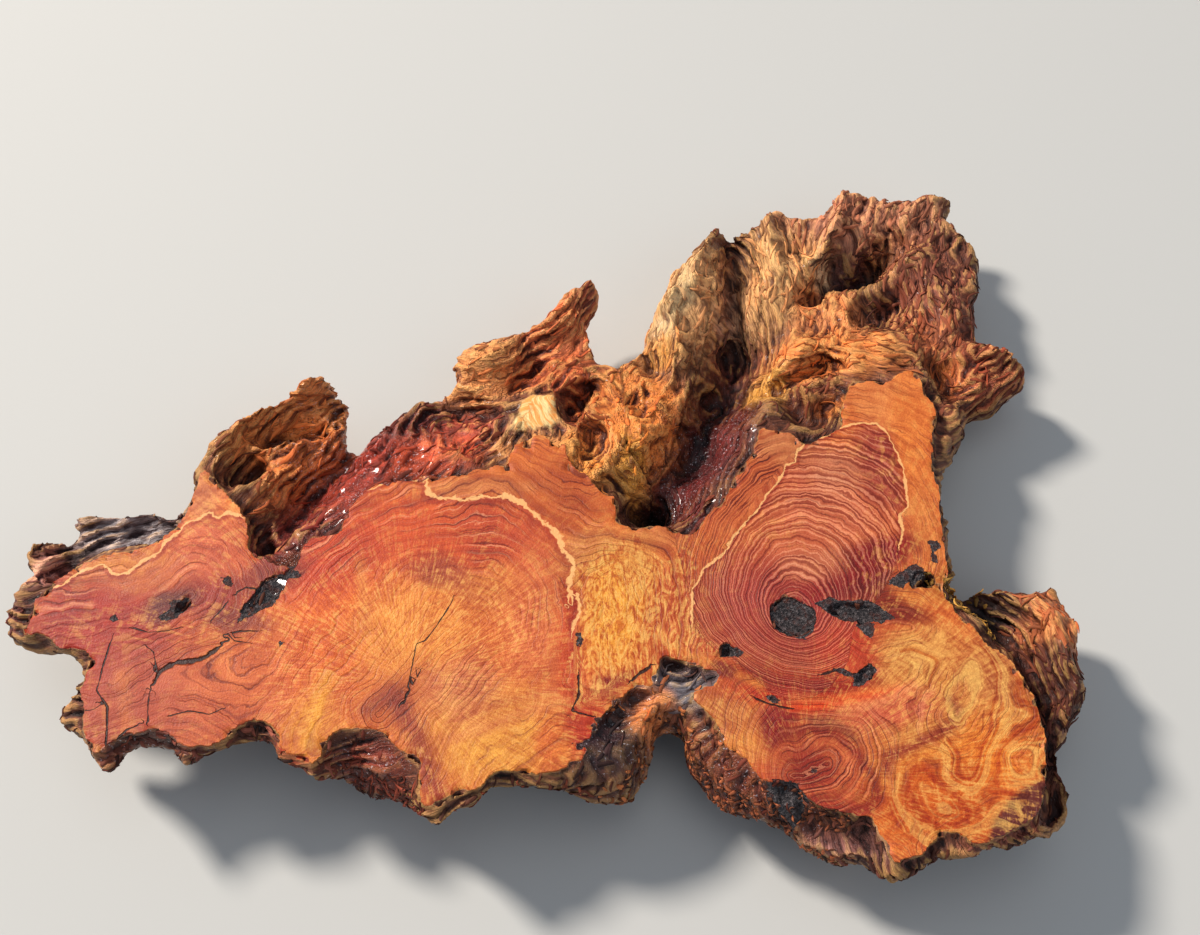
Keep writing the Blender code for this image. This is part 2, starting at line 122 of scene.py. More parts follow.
# Tints of the sawn face: x, y, reach along, reach across, turn in degrees, colour, strength
FACE_BASE = (0.93, 0.51, 0.22)
FACE_TINTS = [
    (-400, -150, 75, 62, 0, (0.73, 0.20, 0.13), 1.0),
    (-368, -212, 42, 55, 0, (0.75, 0.32, 0.23), 1.0),
    (-300, -205, 62, 36, 0, (0.85, 0.42, 0.27), 0.9),
    (-265, -190, 50, 34, 0, (0.94, 0.50, 0.24), 0.8),
    (-215, -135, 36, 66, 0, (0.96, 0.46, 0.14), 0.8),
    (-230, -84, 66, 34, 15, (0.85, 0.27, 0.12), 0.9),
    (-140, -62, 92, 36, -8, (0.89, 0.35, 0.14), 0.9),
    (-78, -66, 44, 30, -30, (0.84, 0.34, 0.18), 0.8),
    (-124, -104, 34, 16, -20, (0.70, 0.33, 0.21), 0.8),
    (-84, -112, 30, 20, 0, (0.94, 0.58, 0.27), 0.8),
    (-50, -140, 26, 62, 0, (0.92, 0.50, 0.28), 0.8),
    (-150, -150, 44, 34, 0, (1.0, 0.66, 0.27), 0.8),
    (-80, -236, 52, 36, 0, (1.0, 0.72, 0.28), 0.9),
    (-110, -198, 32, 24, 0, (0.90, 0.55, 0.35), 0.8),
    (-222, -235, 20, 36, 0, (0.94, 0.60, 0.22), 0.9),
    (-362, -96, 46, 16, 12, (0.90, 0.52, 0.30), 0.7),
    (-322, -78, 30, 30, 0, (0.90, 0.44, 0.28), 0.8),
    (-308, -120, 30, 20, 0, (0.70, 0.24, 0.17), 1.0),
    (-268, -96, 26, 18, 30, (0.62, 0.24, 0.18), 1.0),
    (-290, -142, 22, 12, 0, (0.58, 0.22, 0.18), 0.9),
    (-345, -128, 20, 12, 20, (0.44, 0.20, 0.20), 0.9),
    (-390, -92, 34, 8, 8, (0.94, 0.60, 0.25), 0.9),
    (-336, -28, 16, 24, 0, (0.93, 0.60, 0.36), 1.0),
    (-70, -14, 70, 17, 0, (0.86, 0.46, 0.20), 1.0),
    (-30, -24, 36, 34, 0, (0.81, 0.40, 0.17), 1.0),
    (-100, -20, 46, 8, 0, (0.92, 0.60, 0.34), 0.7),
    (-8, -82, 26, 22, 30, (0.86, 0.55, 0.30), 1.0),
    (45, -66, 28, 14, 0, (0.85, 0.50, 0.26), 1.0),
    (12, -130, 30, 50, 0, (0.97, 0.66, 0.20), 1.0),
    (34, -95, 14, 24, 0, (0.97, 0.72, 0.34), 0.8),
    (60, -142, 18, 44, 0, (0.90, 0.50, 0.22), 0.9),
    (74, -178, 42, 9, -12, (0.86, 0.44, 0.18), 0.9),
    (8, -196, 22, 9, 30, (0.66, 0.20, 0.12), 1.0),
    (-12, -230, 18, 24, 20, (0.82, 0.27, 0.12), 1.0),
    (-42, -240, 12, 22, 0, (0.92, 0.45, 0.18), 0.8),
    (150, -130, 76, 62, 0, (0.71, 0.24, 0.20), 1.0),
    (190, -30, 56, 60, 70, (0.88, 0.48, 0.32), 1.0),
    (178, -92, 30, 14, 0, (0.88, 0.54, 0.38), 0.8),
    (200, -2, 26, 20, 60, (0.88, 0.56, 0.40), 0.8),
    (238, 6, 17, 44, 6, (0.70, 0.28, 0.22), 0.9),
    (118, -14, 28, 60, -38, (0.86, 0.46, 0.24), 0.95),
    (160, 24, 26, 20, 0, (0.88, 0.58, 0.36), 0.9),
    (246, 72, 34, 26, 0, (0.96, 0.60, 0.32), 1.0),
    (270, 30, 16, 60, 0, (0.98, 0.58, 0.26), 1.0),
    (270, -62, 14, 42, 0, (0.96, 0.60, 0.30), 1.0),
    (222, -84, 34, 13, 28, (0.60, 0.10, 0.12), 1.0),
    (212, -110, 34, 11, 12, (0.52, 0.14, 0.13), 1.0),
    (90, -216, 32, 22, -20, (0.84, 0.50, 0.25), 1.0),
    (110, -246, 15, 13, 0, (0.96, 0.63, 0.28), 0.9),
    (122, -266, 13, 9, 0, (0.90, 0.40, 0.15), 0.9),
    (225, -218, 52, 20, 4, (0.91, 0.46, 0.31), 1.0),
    (190, -222, 40, 12, 0, (0.86, 0.48, 0.32), 0.7),
    (165, -202, 62, 15, -4, (0.80, 0.17, 0.06), 1.0),
    (212, -204, 34, 5, 10, (1.0, 0.40, 0.14), 0.8),
    (136, -226, 13, 15, 0, (0.62, 0.15, 0.13), 1.0),
    (164, -260, 42, 34, 0, (0.80, 0.36, 0.20), 1.0),
    (160, -263, 19, 14, 0, (0.66, 0.16, 0.11), 1.0),
    (168, -290, 34, 9, 0, (0.70, 0.20, 0.14), 0.9),
    (270, -215, 62, 50, 0, (0.93, 0.63, 0.30), 1.0),
    (250, -170, 32, 20, 20, (0.96, 0.72, 0.38), 0.9),
    (306, -188, 26, 34, 0, (0.86, 0.56, 0.30), 0.9),
    (236, -258, 20, 12, 30, (1.0, 0.66, 0.26), 0.9),
    (302, -246, 40, 28, 20, (1.0, 0.58, 0.16), 0.9),
    (248, -288, 50, 32, 0, (0.88, 0.42, 0.10), 1.0),
    (214, -268, 14, 14, 0, (0.97, 0.62, 0.27), 0.8),
    (326, -236, 14, 28, 0, (0.92, 0.52, 0.22), 0.8),
    (226, -214, 34, 15, 4, (0.92, 0.46, 0.32), 0.9),
    (192, -166, 24, 20, 20, (0.84, 0.28, 0.16), 0.9),
    (238, -130, 26, 10, -20, (0.55, 0.15, 0.10), 0.9),
    (262, -118, 24, 9, -10, (0.92, 0.58, 0.27), 0.8),
    (282, -112, 14, 14, 0, (0.78, 0.46, 0.16), 0.8),
]

# Painted paths on the sawn face: points, half width, colour, strength
FACE_STREAKS = [
    ([(-160, -200), (-150, -222), (-138, -236), (-133, -255), (-126, -272),
     (-118, -286)], 8, (0.64, 0.22, 0.17), 0.8),
    ([(-178, -214), (-168, -206), (-156, -208), (-150, -218)], 6, (0.66, 0.28, 0.22), 0.8),
    ([(-118, -240), (-70, -222), (-30, -208), (-4, -196)], 5, (0.97, 0.62, 0.34), 0.7),
    ([(-114, -225), (-70, -208), (-28, -198)], 3, (0.80, 0.38, 0.22), 0.6),
    ([(-117, -184), (-119, -210), (-116, -236)], 2.5, (0.98, 0.68, 0.34), 0.7),
    ([(-196, -90), (-190, -120), (-185, -150)], 4, (0.98, 0.66, 0.32), 0.6),
    ([(-212, -190), (-219, -215), (-222, -240)], 5, (0.98, 0.68, 0.20), 0.8),
    ([(-20, -118), (-22, -150), (-21, -180), (-20, -212)], 4, (0.80, 0.22, 0.10), 0.9),
    ([(-27, -122), (-29, -160), (-28, -200)], 4, (0.90, 0.36, 0.16), 0.8),
    ([(-374, -186), (-369, -203), (-363, -226)], 4, (0.90, 0.52, 0.28), 0.9),
    ([(-383, -212), (-378, -232), (-376, -246)], 5, (0.80, 0.40, 0.22), 0.7),
    ([(112, -184), (135, -192), (160, -196), (190, -197), (215, -190)], 6, (0.62, 0.10, 0.06), 0.8),
    ([(150, -206), (180, -208), (215, -200)], 3, (1.0, 0.55, 0.25), 0.7),
    ([(46, -150), (60, -166), (90, -178), (125, -196)], 3, (0.96, 0.60, 0.26), 0.7),
    ([(215, -262), (219, -251), (234, -246), (247, -239), (259, -233), (272, -225), (275, -214),
     (270, -207)], 4.5,
     (0.60, 0.11, 0.13), 0.85),
    ([(127, -219), (129, -243), (145, -234), (160, -230), (179, -235), (194, -249), (204, -266), (208, -283),
      (200, -292), (185, -296)], 3.5, (0.62, 0.15, 0.12), 0.85),
    ([(178, -244), (188, -256), (191, -270), (184, -284)], 3, (0.95, 0.52, 0.30), 0.7),
    ([(146, -215), (177, -211), (201, -207), (233, -199)], 3, (1.0, 0.34, 0.10), 0.8),
    ([(185, -216), (215, -209), (245, -196)], 4, (1.0, 0.66, 0.42), 0.7),
    ([(168, -121), (195, -108), (225, -92), (252, -73)], 9, (0.60, 0.08, 0.10), 0.9),
    ([(240, 34), (250, 14), (252, -12), (248, -36)], 4, (0.60, 0.14, 0.14), 0.6),
]

# Patches of the sawn face with a clear edge: outline, colour, strength
FACE_PATCHES = [
    ([(338, -266), (335, -288), (318, -312), (302, -316), (280, -320), (290, -302), (303, -287), (318, -276)],
     (0.42, 0.19, 0.18), 0.95),
    ([(128, -217), (140, -216), (151, -220), (149, -225), (141, -228), (135, -239), (131, -243), (126, -232)],
     (0.64, 0.14, 0.13), 0.85),
    ([(153, -220), (176, -221), (191, -230), (200, -243), (190, -239), (182, -231), (164, -229)],
     (0.68, 0.38, 0.26), 0.75),
    ([(87, -178), (97, -176), (108, -184), (104, -191), (93, -188)], (0.52, 0.13, 0.12), 0.85),
]

# How strongly the sawn face shows its rings, its pale rings and its flames:
# place, reach, turn, values, strength
FIGURE_BASE = (0.6, 0.15, 0.75)
FIGURES = [
    (-110, -52, 120, 36, -6, (1.0, 0.9, 0.35), 1.0),
    (-235, -84, 66, 34, 20, (0.9, 0.8, 0.3), 1.0),
    (-34, -115, 16, 70, 0, (0.8, 0.5, 0.4), 0.9),
    (-390, -112, 70, 24, 12, (0.8, 0.7, 0.2), 1.0),
    (-390, -190, 50, 40, 0, (0.25, 0.0, 0.25), 0.9),
    (-310, -200, 70, 40, 0, (1.0, 0.0, 0.2), 1.0),
    (-165, -205, 36, 34, 0, (1.0, 0.2, 0.2), 0.9),
    (-130, -140, 80, 44, 0, (0.25, 0.1, 1.0), 1.0),
    (-220, -170, 40, 60, 0, (0.35, 0.05, 0.9), 0.9),
    (-90, -238, 66, 32, 0, (0.8, 0.1, 0.7), 1.0),
    (-50, -8, 90, 32, -10, (1.0, 0.0, 0.1), 1.0),
    (12, -130, 34, 52, 0, (0.30, 0.1, 1.0), 1.0),
    (45, -62, 34, 20, 0, (1.1, 0.0, 0.2), 1.0),
    (120, -10, 40, 70, -38, (1.7, 0.0, 0.1), 1.0),
    (240, 74, 44, 30, 0, (0.7, 0.1, 0.2), 1.0),
    (272, 0, 18, 100, 0, (0.7, 0.0, 0.4), 1.0),
    (295, -220, 80, 90, 0, (0.35, 0.1, 1.0), 1.0),
    (166, -262, 48, 38, 0, (1.5, 0.55, 0.3), 1.0),
    (145, -130, 62, 66, 0, (0.6, 0.0, 0.12), 1.0),
    (195, -30, 44, 66, 0, (0.8, 0.0, 0.12), 1.0),
    (228, -216, 46, 18, 0, (0.8, 0.4, 0.9), 0.9),
]

# Bark that the wood grew round, and holes, where they meet the sawn face
INCLUSIONS = [
    [(136, -135), (141, -129), (152, -125), (164, -128), (171, -136), (170, -149), (162, -157),
     (152, -155), (142, -148)],
    [(172, -126), (184, -121), (200, -124), (216, -123), (228, -131), (236, -139), (220, -142),
     (200, -141), (186, -137)],
    [(204, -145), (212, -142), (218, -147), (215, -156), (209, -153)],
    [(230, -108), (240, -102), (248, -96), (256, -91), (264, -96), (256, -102), (244, -112)],
    [(270, -70), (279, -70), (280, -76), (275, -80), (276, -90), (271, -89), (272, -80)],
    [(95, -164), (103, -163), (114, -167), (110, -171), (100, -171)],
    [(195, -196), (199, -186), (206, -181), (213, -183), (208, -190), (201, -197)],
    [(127, -203), (134, -204), (139, -208), (132, -210)],
    [(159, -261), (163, -261), (163, -264), (159, -264)],
    [(-347, -124), (-336, -123), (-332, -131), (-338, -139), (-348, -142), (-353, -137), (-343, -130)],
    [(-309, -103), (-300, -103), (-297, -110), (-304, -109)],
    [(-392, -139), (-387, -136), (-384, -140), (-389, -144)],
    [(-255, -159), (-251, -157), (-249, -161), (-253, -164)],
    [(-19, -152), (-15, -151), (-14, -161), (-18, -164)],
    [(-291, -143), (-284, -128), (-277, -118), (-270, -111), (-262, -107), (-253, -101), (-255, -108),
     (-259, -115),
     (-258, -122), (-266, -130), (-273, -130), (-279, -137)],
    [(181, -182), (190, -181), (199, -188), (190, -187)],
    [(-259, -104), (-250, -104), (-243, -102), (-246, -96), (-254, -98)],
    [(130, -270), (142, -271), (149, -279), (152, -290), (144, -296), (136, -288), (130, -280)],
]

# How many steps a splinter's line has
FIBRE_STEPS = 5

# The inclusions that are open pits, and how far a pit's wall stands outside its outline
OPEN_PITS = [0, 1, 3, 6, 14]
PIT_WALL = 5

# Cracks in the sawn face: points and half width
CRACKS = [
    ([(-346, -193), (-343, -184), (-337, -179), (-330, -176), (-320, -176), (-310, -172), (-303, -167),
     (-296, -160)], 1.7),
    ([(-346, -190), (-349, -202), (-348, -212), (-346, -224)], 0.7),
    ([(-386, -156), (-389, -180), (-390, -200), (-384, -207), (-379, -213), (-376, -235), (-374, -254)], 0.7),
    ([(-396, -216), (-389, -215), (-384, -210)], 0.5),
    ([(-358, -163), (-351, -168), (-348, -178), (-346, -188)], 0.5),
    ([(-118, -122), (-124, -135), (-130, -146), (-138, -158), (-145, -161), (-147, -180), (-150, -205),
     (-154, -211)], 0.55),
    ([(-140, -183), (-146, -196), (-151, -210)], 0.45),
    ([(-367, -238), (-361, -231), (-354, -228)], 0.8),
    ([(-372, -147), (-358, -151), (-345, -150), (-334, -147)], 0.5),
    ([(-297, -153), (-285, -150), (-270, -150)], 0.5),
    ([(-300, -160), (-290, -158), (-276, -160)], 0.4),
    ([(-290, -214), (-300, -219), (-316, -216), (-330, -220)], 0.4),
    ([(175, -186), (184, -183), (194, -187), (203, -186)], 0.9),
    ([(-17, -188), (-16, -202), (-22, -216), (-8, -220)], 0.9),
    ([(26, -190), (32, -185), (38, -181)], 1.1),
    ([(120, -206), (131, -211), (146, -214)], 0.7),
    ([(-256, -103), (-252, -97), (-249, -90), (-247, -82), (-246, -74)], 1.7),
    ([(-309, -140), (-303, -132), (-300, -126)], 0.6),
    ([(-292, -116), (-286, -112), (-278, -113)], 0.8),
]

# A chip of bare wood inside the bark of the large eye
BARE_CHIP = [(151, -142), (161, -149), (166, -142), (160, -133)]

# Pale lines where sapwood and heartwood meet: points and half width
PALE_LINES = [
    ([(-147, -8), (-144, -26), (-138, -29), (-110, -29), (-78, -28), (-68, -32), (-58, -42), (-48, -52),
     (-40, -57),
      (-35, -68), (-28, -78), (-22, -92), (-23, -105), (-25, -117)], 2.2),
    ([(-18, -118), (-17, -134), (-21, -148)], 1.5),
    ([(73, -140), (75, -115), (85, -95),
      (100, -82), (115, -60), (135, -35), (155, -8), (158, 2), (166, 6), (169, 17), (181, 29), (195, 32),
       (204, 39),
      (220, 43), (240, 44), (247, 35), (253, 20), (257, 0), (258, -20), (257, -38), (250, -45),
       (250, -60), (247, -72)], 1.1),
    ([(-452, -118), (-437, -110), (-430, -104), (-415, -95), (-405, -92), (-395, -100), (-385, -99),
     (-375, -90),
      (-365, -84), (-358, -72), (-345, -55), (-335, -50), (-325, -43), (-318, -47), (-310, -42),
       (-300, -46)], 1.3),
    ([(-215, -38), (-200, -22), (-190, -20), (-178, -13), (-170, -9), (-160, -12), (-148, -12)], 1.0),
]

# Tints of the unsawn wood: x, y, reach along, reach across, turn, colour, strength
WILD_BASE = (0.44, 0.25, 0.17)
WILD_BACK = (0.60, 0.33, 0.22)
# Painted shade: the dark colour laid over the steep walls that face the front
WILD_FRONT_PAINTED_SHADE = (0.30, 0.15, 0.13)
WILD_TINTS = [
    (-275, 60, 60, 34, 40, (0.96, 0.58, 0.30), 1.0),
    (-262, 12, 44, 30, 45, (0.92, 0.50, 0.24), 1.0),
    (-280, 44, 20, 13, 20, (0.26, 0.13, 0.12), 0.9),
    (-303, 0, 12, 18, 0, (0.28, 0.12, 0.12), 0.9),
    (-240, -30, 26, 70, -38, (0.52, 0.18, 0.15), 1.0),
    (-205, 5, 34, 60, -50, (0.64, 0.23, 0.16), 1.0),
    (-160, 62, 34, 26, 0, (0.46, 0.18, 0.15), 1.0),
    (-140, 22, 44, 26, 20, (0.80, 0.32, 0.18), 1.0),
    (-118, 60, 26, 22, 0, (0.62, 0.24, 0.16), 0.9),
    (-105, 116, 38, 28, 20, (1.0, 0.64, 0.36), 1.0),
    (-30, 176, 40, 48, -40, (0.98, 0.54, 0.32), 1.0),
    (-8, 206, 16, 22, -40, (0.62, 0.30, 0.22), 0.9),
    (-40, 120, 36, 26, 0, (0.78, 0.36, 0.18), 0.9),
    (-56, 18, 34, 16, 0, (0.98, 0.66, 0.38), 1.0),
    (-16, 62, 14, 34, 0, (0.60, 0.26, 0.13), 1.0),
    (-12, 10, 22, 28, 0, (0.98, 0.62, 0.28), 1.0),
    (34, 70, 40, 56, 0, (0.98, 0.56, 0.25), 1.0),
    (78, 190, 34, 62, -24, (1.0, 0.74, 0.48), 1.0),
    (70, 190, 11, 56, -22, (1.0, 0.84, 0.60), 0.9),
    (56, 140, 14, 14, 0, (1.0, 0.66, 0.26), 0.8),
    (128, 190, 17, 56, 0, (0.60, 0.45, 0.38), 1.0),
    (132, 148, 22, 22, 0, (0.62, 0.30, 0.24), 0.9),
    (110, 84, 24, 56, -28, (0.45, 0.17, 0.15), 1.0),
    (88, 20, 28, 56, -40, (0.42, 0.15, 0.14), 1.0),
    (76, -36, 26, 18, -30, (0.44, 0.16, 0.14), 0.9),
    # Painted shadow in the pocket, beside the edge of the hanging wall
    (42, -24, 20, 16, 0, (0.12, 0.08, 0.10), 1.0),
    (26, 14, 12, 30, 0, (1.0, 0.68, 0.26), 0.9),
    (176, 240, 34, 66, -20, (1.0, 0.75, 0.48), 1.0),
    (250, 300, 84, 34, 0, (0.80, 0.52, 0.38), 1.0),
    (212, 176, 34, 48, 0, (0.98, 0.62, 0.36), 1.0),
    (215, 128, 62, 26, 0, (1.0, 0.60, 0.30), 1.0),
    # Painted shadow in the cave of the back right lobe
    (252, 244, 36, 18, 36, (0.34, 0.20, 0.22), 0.9),
    (215, 238, 10, 14, 0, (1.0, 0.82, 0.62), 0.8),
    (285, 255, 20, 26, 0, (0.86, 0.60, 0.38), 0.7),
    (315, 200, 44, 80, 0, (0.58, 0.32, 0.23), 1.0),
    (300, 150, 30, 34, 0, (0.70, 0.38, 0.22), 0.9),
    (318, 112, 20, 18, 0, (1.0, 0.56, 0.22), 0.8),
    (356, 110, 40, 34, 20, (0.66, 0.32, 0.20), 1.0),
    (304, 60, 14, 60, 0, (0.50, 0.28, 0.19), 1.0),
    (184, 86, 30, 16, 20, (0.56, 0.28, 0.16), 0.9),
    (152, 100, 14, 22, 0, (1.0, 0.70, 0.30), 0.9),
    (205, 70, 14, 12, 0, (0.96, 0.56, 0.26), 0.8),
    (-405, -42, 48, 18, 6, (0.62, 0.58, 0.58), 1.0),
    (-460, -84, 16, 20, 0, (0.90, 0.62, 0.56), 1.0),
    (-440, -70, 14, 9, 0, (0.16, 0.11, 0.12), 0.9),
    (-476, -128, 14, 30, 0, (0.46, 0.24, 0.22), 1.0),
    (104, -268, 60, 28, -24, (0.48, 0.23, 0.16), 1.0),
    (62, -196, 36, 16, -4, (0.42, 0.40, 0.42), 1.0),
    (40, -215, 16, 18, 0, (0.96, 0.56, 0.30), 1.0),
    # Painted shade on the wall under the front edge, between the two lobes
    (0, -240, 30, 20, 0, (0.22, 0.13, 0.15), 0.9),
    (-176, -256, 28, 20, 0, (0.54, 0.22, 0.16), 1.0),
    (350, -180, 24, 70, 0, (0.40, 0.21, 0.16), 1.0),
    (372, -130, 24, 24, 0, (0.90, 0.52, 0.30), 0.9),
    # Painted shadow beside the right bark lobe
    (318, -126, 14, 26, 0, (0.14, 0.09, 0.10), 1.0),
    (186, -316, 44, 14, -6, (0.56, 0.36, 0.32), 1.0),
    (300, -314, 44, 10, 20, (0.52, 0.26, 0.20), 0.9),
    (-340, -246, 50, 12, 0, (0.52, 0.26, 0.20), 0.9),
    (-238, -250, 22, 10, 0, (0.84, 0.34, 0.22), 0.8),
]

# Where the splinters are plentiful, how long they are in millimetres, and how far their tips lift
FIBRE_BASE = (0.3, 14, 0.03)
FIBRE_PLACES = [
    (315, 200, 60, 90, 0, (1.0, 20, 0.12), 1.0),
    (250, 290, 90, 40, 0, (0.9, 16, 0.10), 1.0),
    (176, 240, 40, 70, -20, (0.6, 20, 0.05), 1.0),
    (78, 190, 40, 66, -24, (0.5, 14, 0.04), 1.0),
    (215, 128, 66, 30, 0, (0.9, 13, 0.12), 1.0),
    (34, 70, 50, 60, 0, (0.3, 12, 0.03), 1.0),
    (110, 80, 26, 90, -30, (0.12, 8, 0.02), 1.0),
    (-270, 50, 60, 50, 30, (0.5, 18, 0.04), 1.0),
    (-205, 5, 44, 70, -50, (0.3, 18, 0.02), 1.0),
    (-140, 40, 60, 40, 20, (0.5, 14, 0.06), 1.0),
    (-30, 170, 50, 60, -40, (0.4, 14, 0.04), 1.0),
    (-60, 60, 22, 24, 0, (0.0, 12, 0.02), 1.0),
    (-410, -44, 56, 24, 6, (0.3, 12, 0.02), 1.0),
    (360, -180, 34, 90, 0, (0.9, 14, 0.12), 1.0),
    (350, 100, 40, 30, 0, (0.6, 16, 0.04), 1.0),
]

# Torn splinters of the front: extent in x and y, how many, length, width, lift, tint, and the way
# that they point
FRINGES = [
    ((-385, -300), (-290, -200), 60, 13, 3.4, 0.10, (0.54, 0.28, 0.22), (0.3, -0.5, -0.5)),
    ((-290, -190), (-300, -205), 60, 15, 4.0, 0.08, (0.66, 0.36, 0.28), (0.2, -0.3, -0.9)),
    ((-205, -130), (-310, -215), 130, 14, 2.8, 0.10, (0.64, 0.29, 0.20), (0.1, -0.5, -0.9)),
    ((-120, 0), (-310, -215), 60, 10, 3.0, 0.08, (0.70, 0.34, 0.22), (0.0, -0.4, -0.9)),
    ((0, 75), (-290, -180), 130, 6, 3.8, 0.12, (0.86, 0.50, 0.28), (0.2, -0.5, -0.3)),
    ((70, 190), (-330, -215), 420, 5, 2.8, 0.16, (0.76, 0.42, 0.26), (-0.4, -0.5, -0.2)),
    ((150, 330), (-360, -280), 90, 9, 3.2, 0.08, (0.60, 0.34, 0.26), (0.0, -0.5, -0.7)),
    ((264, 322), (-146, -96), 140, 9, 4.0, 0.30, (1.00, 0.74, 0.34), (0.4, 0.2, 0.5)),
]

# Where the unsawn wood shows its worn growth layers as wavy steps, and not as splinters
LAYERED = [
    (34, 60, 54, 66, 0, [1.0], 1.0),
    (-20, 20, 50, 30, 0, [1.0], 1.0),
    (-60, 120, 90, 60, 30, [1.0], 1.0),
    (-20, 180, 40, 50, -40, [0.8], 1.0),
    (-270, 60, 60, 40, 40, [0.8], 1.0),
    (-230, 0, 60, 70, -40, [0.6], 1.0),
    (-150, 40, 50, 40, 0, [0.7], 1.0),
    (78, 190, 40, 70, -24, [0.15], 1.0),
    (176, 240, 40, 70, -20, [0.15], 1.0),
    (170, 100, 40, 20, 0, [0.9], 1.0),
    (100, 50, 30, 80, -30, [0.5], 1.0),
    (350, 100, 40, 30, 0, [0.8], 1.0),
]

# Where the wood is too thin for the fine mesh, so that it is thickened first: place and reach
THIN_PLACES = [(129, 276, 16)]
THICKENED_BY = 2.1 * MM

# Share of its faces that the underside, which nobody sees, does without
UNDERSIDE_DROPPED = 0.86

# Where water still stands on the wood
WET_PLACES = [
    (-200, 10, 95, 62, -50, [1.0], 1.0),
    (96, 30, 34, 80, -25, [1.0], 1.0),
    (-258, -104, 20, 34, -30, [1.0], 1.0),
    (104, -268, 60, 28, -24, [0.8], 1.0),
    (-345, -240, 44, 20, 0, [0.8], 1.0),
    (-176, -256, 30, 24, 0, [0.7], 1.0),
    (10, -230, 50, 40, 0, [0.7], 1.0),
]

# A clean, pale broken step in the unsawn wood
PALE_STEP = [(-78, 44), (-70, 64), (-62, 78), (-40, 82), (-35, 58), (-42, 42), (-60, 40)]
PALE_STEP_TINT = (1.0, 0.86, 0.58)

# Colours that the figures of the sawn face move its tint towards
FLAME_LIGHT = (1.0, 0.74, 0.38)
CURL_LIGHT = (1.0, 0.80, 0.42)
ARC_LIGHT = (1.0, 0.66, 0.48)
EYE_LIGHT = (0.97, 0.68, 0.54)

# What the figures of the sawn face multiply its tint by
MOTTLE_SHADE = (0.70, 0.45, 0.34)
FLAME_SHADE = (0.66, 0.36, 0.26)
CURL_SHADE = (0.70, 0.36, 0.18)
SWIRL_SHADE = (0.46, 0.20, 0.12)
BAND_SHADE = (0.62, 0.38, 0.32)
LINE_SHADE = (0.36, 0.16, 0.13)
HAIR_SHADE = (0.46, 0.26, 0.20)
EYE_LIFT = (1.2, 1.4, 1.4)
EYE_SHADE = (0.46, 0.24, 0.22)
FELT_SHADE = (0.62, 0.44, 0.36)
PALE_LINE_SHADE = (0.62, 0.24, 0.22)

# Colours that places on the unsawn wood and on the bark move their tint towards: the painted highlight of
# crests, torn wood, painted glints on wet places, and rust
CREST_PAINTED_HIGHLIGHT = (1.0, 0.78, 0.44)
TORN_LIGHT = (1.0, 0.60, 0.24)
GLINT = (0.93, 0.88, 0.90)
RUST = (0.36, 0.17, 0.13)

# What the figures of the unsawn wood and the loose fibres multiply their tint by, with the lift of the
# painted highlights on crests and the painted shade of gaps and hollows
TONE_SHADE = (0.30, 0.15, 0.12)
TONE_LIFT = (1.7, 1.7, 1.7)
CREST_PAINTED_LIFT = (1.5, 1.5, 1.6)
GAP_PAINTED_SHADE = (0.13, 0.05, 0.06)
HOLLOW_PAINTED_SHADE = (0.11, 0.045, 0.06)
FIBRE_SHADE = (0.42, 0.26, 0.24)
STREAK_SHADE = (0.4, 0.26, 0.2)
ROOT_SHADE = (0.4, 0.25, 0.2)

# Lines that the strands of the unsawn wood run along
STRAND_GUIDES = [
    [(-345, -5), (-322, 40), (-292, 76), (-244, 106)],
    [(-302, -62), (-262, -8), (-216, 44)],
    [(-242, -66), (-190, 2), (-140, 64)],
    [(-132, 112), (-92, 122), (-50, 156), (-12, 214)],
    [(-4, 96), (16, 50), (8, 0), (22, -26)],
    [(112, 276), (78, 206), (64, 150), (46, 100), (30, 40)],
    [(126, 258), (132, 190), (126, 134), (110, 76), (80, 0), (58, -54)],
    [(166, 290), (178, 216), (162, 148), (146, 96)],
    [(244, 322), (216, 256), (216, 190), (206, 130)],
    [(345, 316), (322, 246), (320, 166), (302, 112)],
    [(306, 66), (352, 90), (382, 124)],
    [(148, 122), (204, 134), (276, 112)],
    [(300, -100), (350, -140), (362, -220), (340, -300)],
    [(-470, -60), (-400, -36), (-352, -20)],
]


def length_setting(name, description, default, **limits):
    return FloatProperty(name=name, description=description, default=default, unit="LENGTH", **limits)


def tint_setting(name, description, default):
    return FloatVectorProperty(
        name=name, description=description, default=default, size=3, subtype="COLOR", min=0, max=1
    )


class WoodSettings(bpy.types.PropertyGroup):
    """Sizes and finish of the wood."""

    voxel: length_setting("Mesh spacing", "Spacing of the points of the wood's mesh", 2.82 * MM, min=2 * MM)
    strand_height: length_setting("Strand height", "How far the weathered strands stand up", 3.4 * MM)
    fold_height: length_setting("Fold height", "How far the larger folds stand up", 5 * MM)
    step_height: length_setting("Step height", "Height of the worn steps along the strands", 2.8 * MM)
    chip_reach: length_setting("Chip reach", "How far the sawn face is torn away from its rim", 14 * MM)
    rim_raggedness: length_setting("Rim raggedness", "How far the sawn rim strays", 1.6 * MM)
    left_ring_spacing: length_setting("Ring spacing", "Mean spacing of the wide growth rings", 7 * MM)
    eye_ring_spacing: length_setting("Eye ring spacing", "Mean spacing of the rings round the eyes", 2.9 * MM)
    bark_tint: tint_setting("Bark", "Colour of the bark that the wood grew round", (0.16, 0.14, 0.15))
    bark_dust: tint_setting("Bark dust", "Colour of the pale specks on that bark", (0.42, 0.38, 0.38))
    pale_tint: tint_setting(
        "Pale line", "Colour of the thin line between sapwood and heartwood", (0.97, 0.72, 0.45)
    )
    crack_tint: tint_setting("Crack", "Colour inside the cracks", (0.11, 0.03, 0.03))


